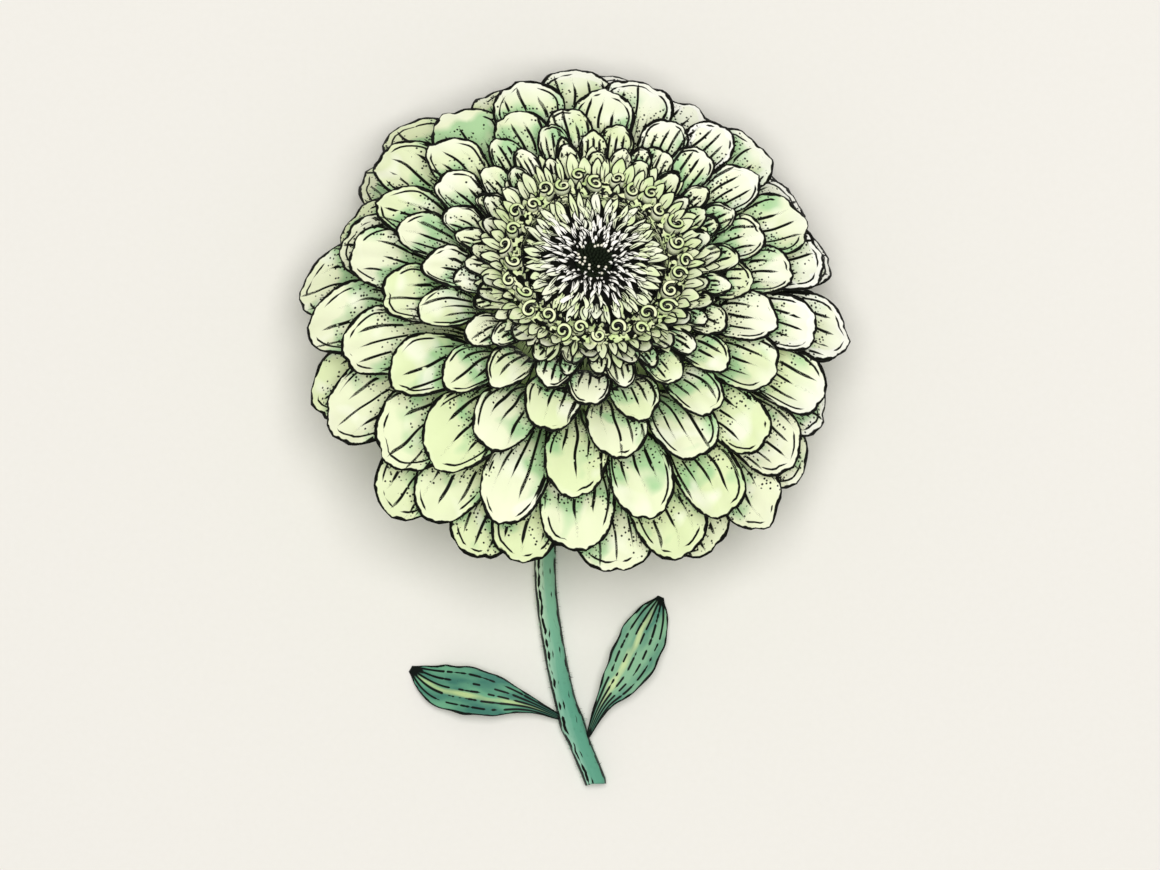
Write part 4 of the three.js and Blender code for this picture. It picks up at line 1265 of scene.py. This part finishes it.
# The pair of leaves: narrow feet that clasp the stem, long pointed blades folded a little along
# the midrib, waved at the margins, and tips that rest on the table.
LEAF_WIDTH = 8.8
LEAF_SHAPE = [(0, 0.08), (0.08, 0.18), (0.14, 0.23), (0.24, 0.37), (0.36, 0.68), (0.48, 0.92)]
LEAF_SHAPE += [(0.6, 1), (0.73, 0.95), (0.84, 0.76), (0.92, 0.48), (0.97, 0.24), (1, 0.08)]
LEAF_THICKNESS = 0.42
LEAF_ROWS, LEAF_COLUMNS = 72, 21


def grow_leaf(name, line, phase, finish):
    """A leaf along a line of points from its foot to its tip."""
    path = smooth_line(beside_rim(line), steps=30)
    walk = np.linspace(0, walked_along(path)[-1], LEAF_ROWS + 1)
    middle = points_on(path, walk)
    ahead = np.gradient(middle, axis=0)
    ahead /= np.linalg.norm(ahead, axis=1, keepdims=True)
    side = np.stack([-ahead[:, 1], ahead[:, 0], 0 * ahead[:, 0]], 1)
    side /= np.linalg.norm(side, axis=1, keepdims=True)
    above = np.cross(ahead, side)
    along = walk / walk[-1]
    half = np.interp(along, *zip(*LEAF_SHAPE))
    half = np.convolve(np.pad(half, 3, mode="edge"), np.ones(7) / 7, "valid")[:, None]
    along = along[:, None]
    across = np.sin(np.linspace(np.pi / 2, -np.pi / 2, LEAF_COLUMNS))[None, :]
    reach = half * LEAF_WIDTH / 2
    ragged = 1 + 0.03 * np.sin(along * 34 + phase) * np.abs(across) ** 3
    wave = 0.35 * np.sin(along * 13 + phase + across) * half
    groove = -0.1 * np.exp(-((across / 0.07) ** 2))
    groove = groove - 0.05 * np.exp(-(((np.abs(across) - 0.4) / 0.07) ** 2))
    lift = (0.2 * reach + wave) * across**2 + groove * half
    thick = LEAF_THICKNESS * np.sqrt(np.clip(1 - across**2, 0.02, 1))
    thick = thick * (0.35 + 0.65 * np.sqrt(np.clip((1 - along) / 0.3, 0.02, 1)))
    sheets = []
    for face in (1, -1):
        points = middle[:, None] + (across * reach * ragged)[..., None] * side[:, None]
        points = points + (lift + face * thick)[..., None] * above[:, None]
        points[..., 2] = np.maximum(points[..., 2], np.where(face > 0, thick, 0))
        sheets.append(points.reshape(-1, 3))
    margin = np.minimum((1 - np.abs(across)) * reach, (1 - along) * walk[-1] * 0.5)
    leaf = Grown()
    leaf.add(np.concatenate(sheets), two_sheets(LEAF_ROWS, LEAF_COLUMNS), {
        "lie": on_both_sides(across * reach, along * walk[-1], phase),
        "edge": on_both_sides(reach, margin, 0),
        "share": on_both_sides(along, across, 0),
    })
    leaf.piece(name + "_blade", finish, name)


def leaf_finish(name, light, deep, streak, shade):
    """Leaf skin: satin teal with yellow-green streaks between the veins, and painted shade towards
    the foot. The veins are broken dark lines up to 0.4 mm wide that meet at both ends, and the
    margin and the tip are dark."""
    material, tree = finish_of(name)
    lie, edge, share = marks_of(tree, "lie", "edge", "share")
    along, across = share[0], share[1]
    stretched = node(tree, "Math", {0: lie[1], 1: 0.3}, operation="MULTIPLY")
    spot = node(tree, "CombineXYZ", {0: lie[0], 1: stretched, 2: lie[2]})
    cloud = node(tree, "TexNoise", {"Vector": spot, "Scale": 0.35, "Detail": 2.0})
    cloud = node(tree, "MapRange", {"Value": cloud, "From Min": 0.38, "From Max": 0.62})
    wash = node(tree, "Mix", {0: cloud, 6: linear(deep), 7: linear(light)}, out=2, data_type="RGBA")
    band = node(tree, "Math", {0: across, 1: 0.22}, operation="SUBTRACT")
    band = node(tree, "Math", {0: band}, operation="ABSOLUTE")
    band = node(tree, "MapRange", {
        "Value": band, "From Min": 0.05, "From Max": 0.4, "To Min": 0.46, "To Max": 0.0,
    })
    patch = node(tree, "TexNoise", {"Vector": spot, "Scale": 0.5, "Detail": 1.0})
    band = node(tree, "Math", {0: band, 1: patch}, operation="ADD")
    band = node(tree, "MapRange", {"Value": band, "From Min": 0.78, "From Max": 1.0, "To Max": 0.8})
    wash = node(tree, "Mix", {0: band, 6: wash, 7: linear(streak)}, out=2, data_type="RGBA")
    # Painted shade: the wash darkens towards the foot, where the leaf clasps the stem.
    foot_shade = node(tree, "MapRange", {
        "Value": along, "From Min": 0.12, "From Max": 0.36, "To Min": 0.8, "To Max": 0.0,
    })
    wash = node(tree, "Mix", {0: foot_shade, 6: wash, 7: linear(shade)}, out=2, data_type="RGBA")

    # Each vein has its own dashes, closer together near the foot and the tip.
    lane = node(tree, "TexNoise", {"Vector": spot, "Scale": 0.4, "Detail": 1.0})
    lane = node(tree, "MapRange", {"Value": lane, "To Min": -0.25, "To Max": 0.25})
    lane = node(tree, "Math", {0: across, 1: 3.0, 2: lane}, operation="MULTIPLY_ADD")
    vein, off = vein_lanes(tree, lane, edge[0], apart=0.333)
    dash = node(tree, "CombineXYZ", {0: vein, 1: lie[1], 2: lie[2]})
    dash = node(tree, "TexNoise", {"Vector": dash, "Scale": 0.55, "Detail": 1.0})
    near = node(tree, "MapRange", {
        "Value": along, "From Min": 0.14, "From Max": 0.4, "To Min": 0.3, "To Max": 0.0,
    })
    dash = node(tree, "Math", {0: dash, 1: near}, operation="ADD")
    near = node(tree, "MapRange", {"Value": along, "From Min": 0.74, "From Max": 0.92, "To Max": 0.25})
    dash = node(tree, "Math", {0: dash, 1: near}, operation="ADD")
    width = node(tree, "MapRange", {
        "Value": dash, "From Min": 0.42, "From Max": 0.52, "To Min": -0.06, "To Max": 0.2,
    })
    narrow = node(tree, "Math", {0: edge[0], 1: 0.11}, operation="MULTIPLY")
    width = node(tree, "Math", {0: width, 1: narrow}, operation="MINIMUM")
    veins = pen_line(tree, off, width)

    # The margin line swells and thins, and the tip and the foot end in ragged ink.
    swing = node(tree, "TexNoise", {"Vector": spot, "Scale": 0.8, "Detail": 2.0})
    width = node(tree, "MapRange", {
        "Value": swing, "From Min": 0.35, "From Max": 0.65, "To Min": 0.16, "To Max": 0.5,
    })
    rim = pen_line(tree, edge[1], width)
    ragged = node(tree, "Math", {0: swing, 1: 0.16, 2: along}, operation="MULTIPLY_ADD")
    tip = node(tree, "MapRange", {"Value": ragged, "From Min": 1.01, "From Max": 1.03})
    foot = node(tree, "MapRange", {
        "Value": ragged, "From Min": 0.1, "From Max": 0.13, "To Min": 1.0, "To Max": 0.0,
    })
    inked_skin(tree, wash, darkest(tree, veins, rim, tip, foot), "#0b120e", roughness=0.5, sheen=0.08)
    return material


deep_teal_leaf = leaf_finish("satin_deep_teal_leaf", "#69a481", "#3e7465", "#c0d492", "#315f50")
pale_teal_leaf = leaf_finish("satin_pale_teal_leaf", "#83b08d", "#538773", "#cbda9e", "#3d6e5b")
LEFT_LINE = [(-2.6, -69.8, 2.6), (-8.7, -67.2, 3.8), (-17.8, -65, 4.2)]
LEFT_LINE += [(-25.2, -63.6, 2.2), (-30.4, -60.8, 0)]
RIGHT_LINE = [(1.9, -73.0, 2.6), (4.4, -67.5, 4), (9.2, -60.6, 4.4)]
RIGHT_LINE += [(12.7, -53.4, 2.6), (15.2, -47.7, 0)]
grow_leaf("leaf_left", LEFT_LINE, 0, deep_teal_leaf)
grow_leaf("leaf_right", RIGHT_LINE, 2, pale_teal_leaf)
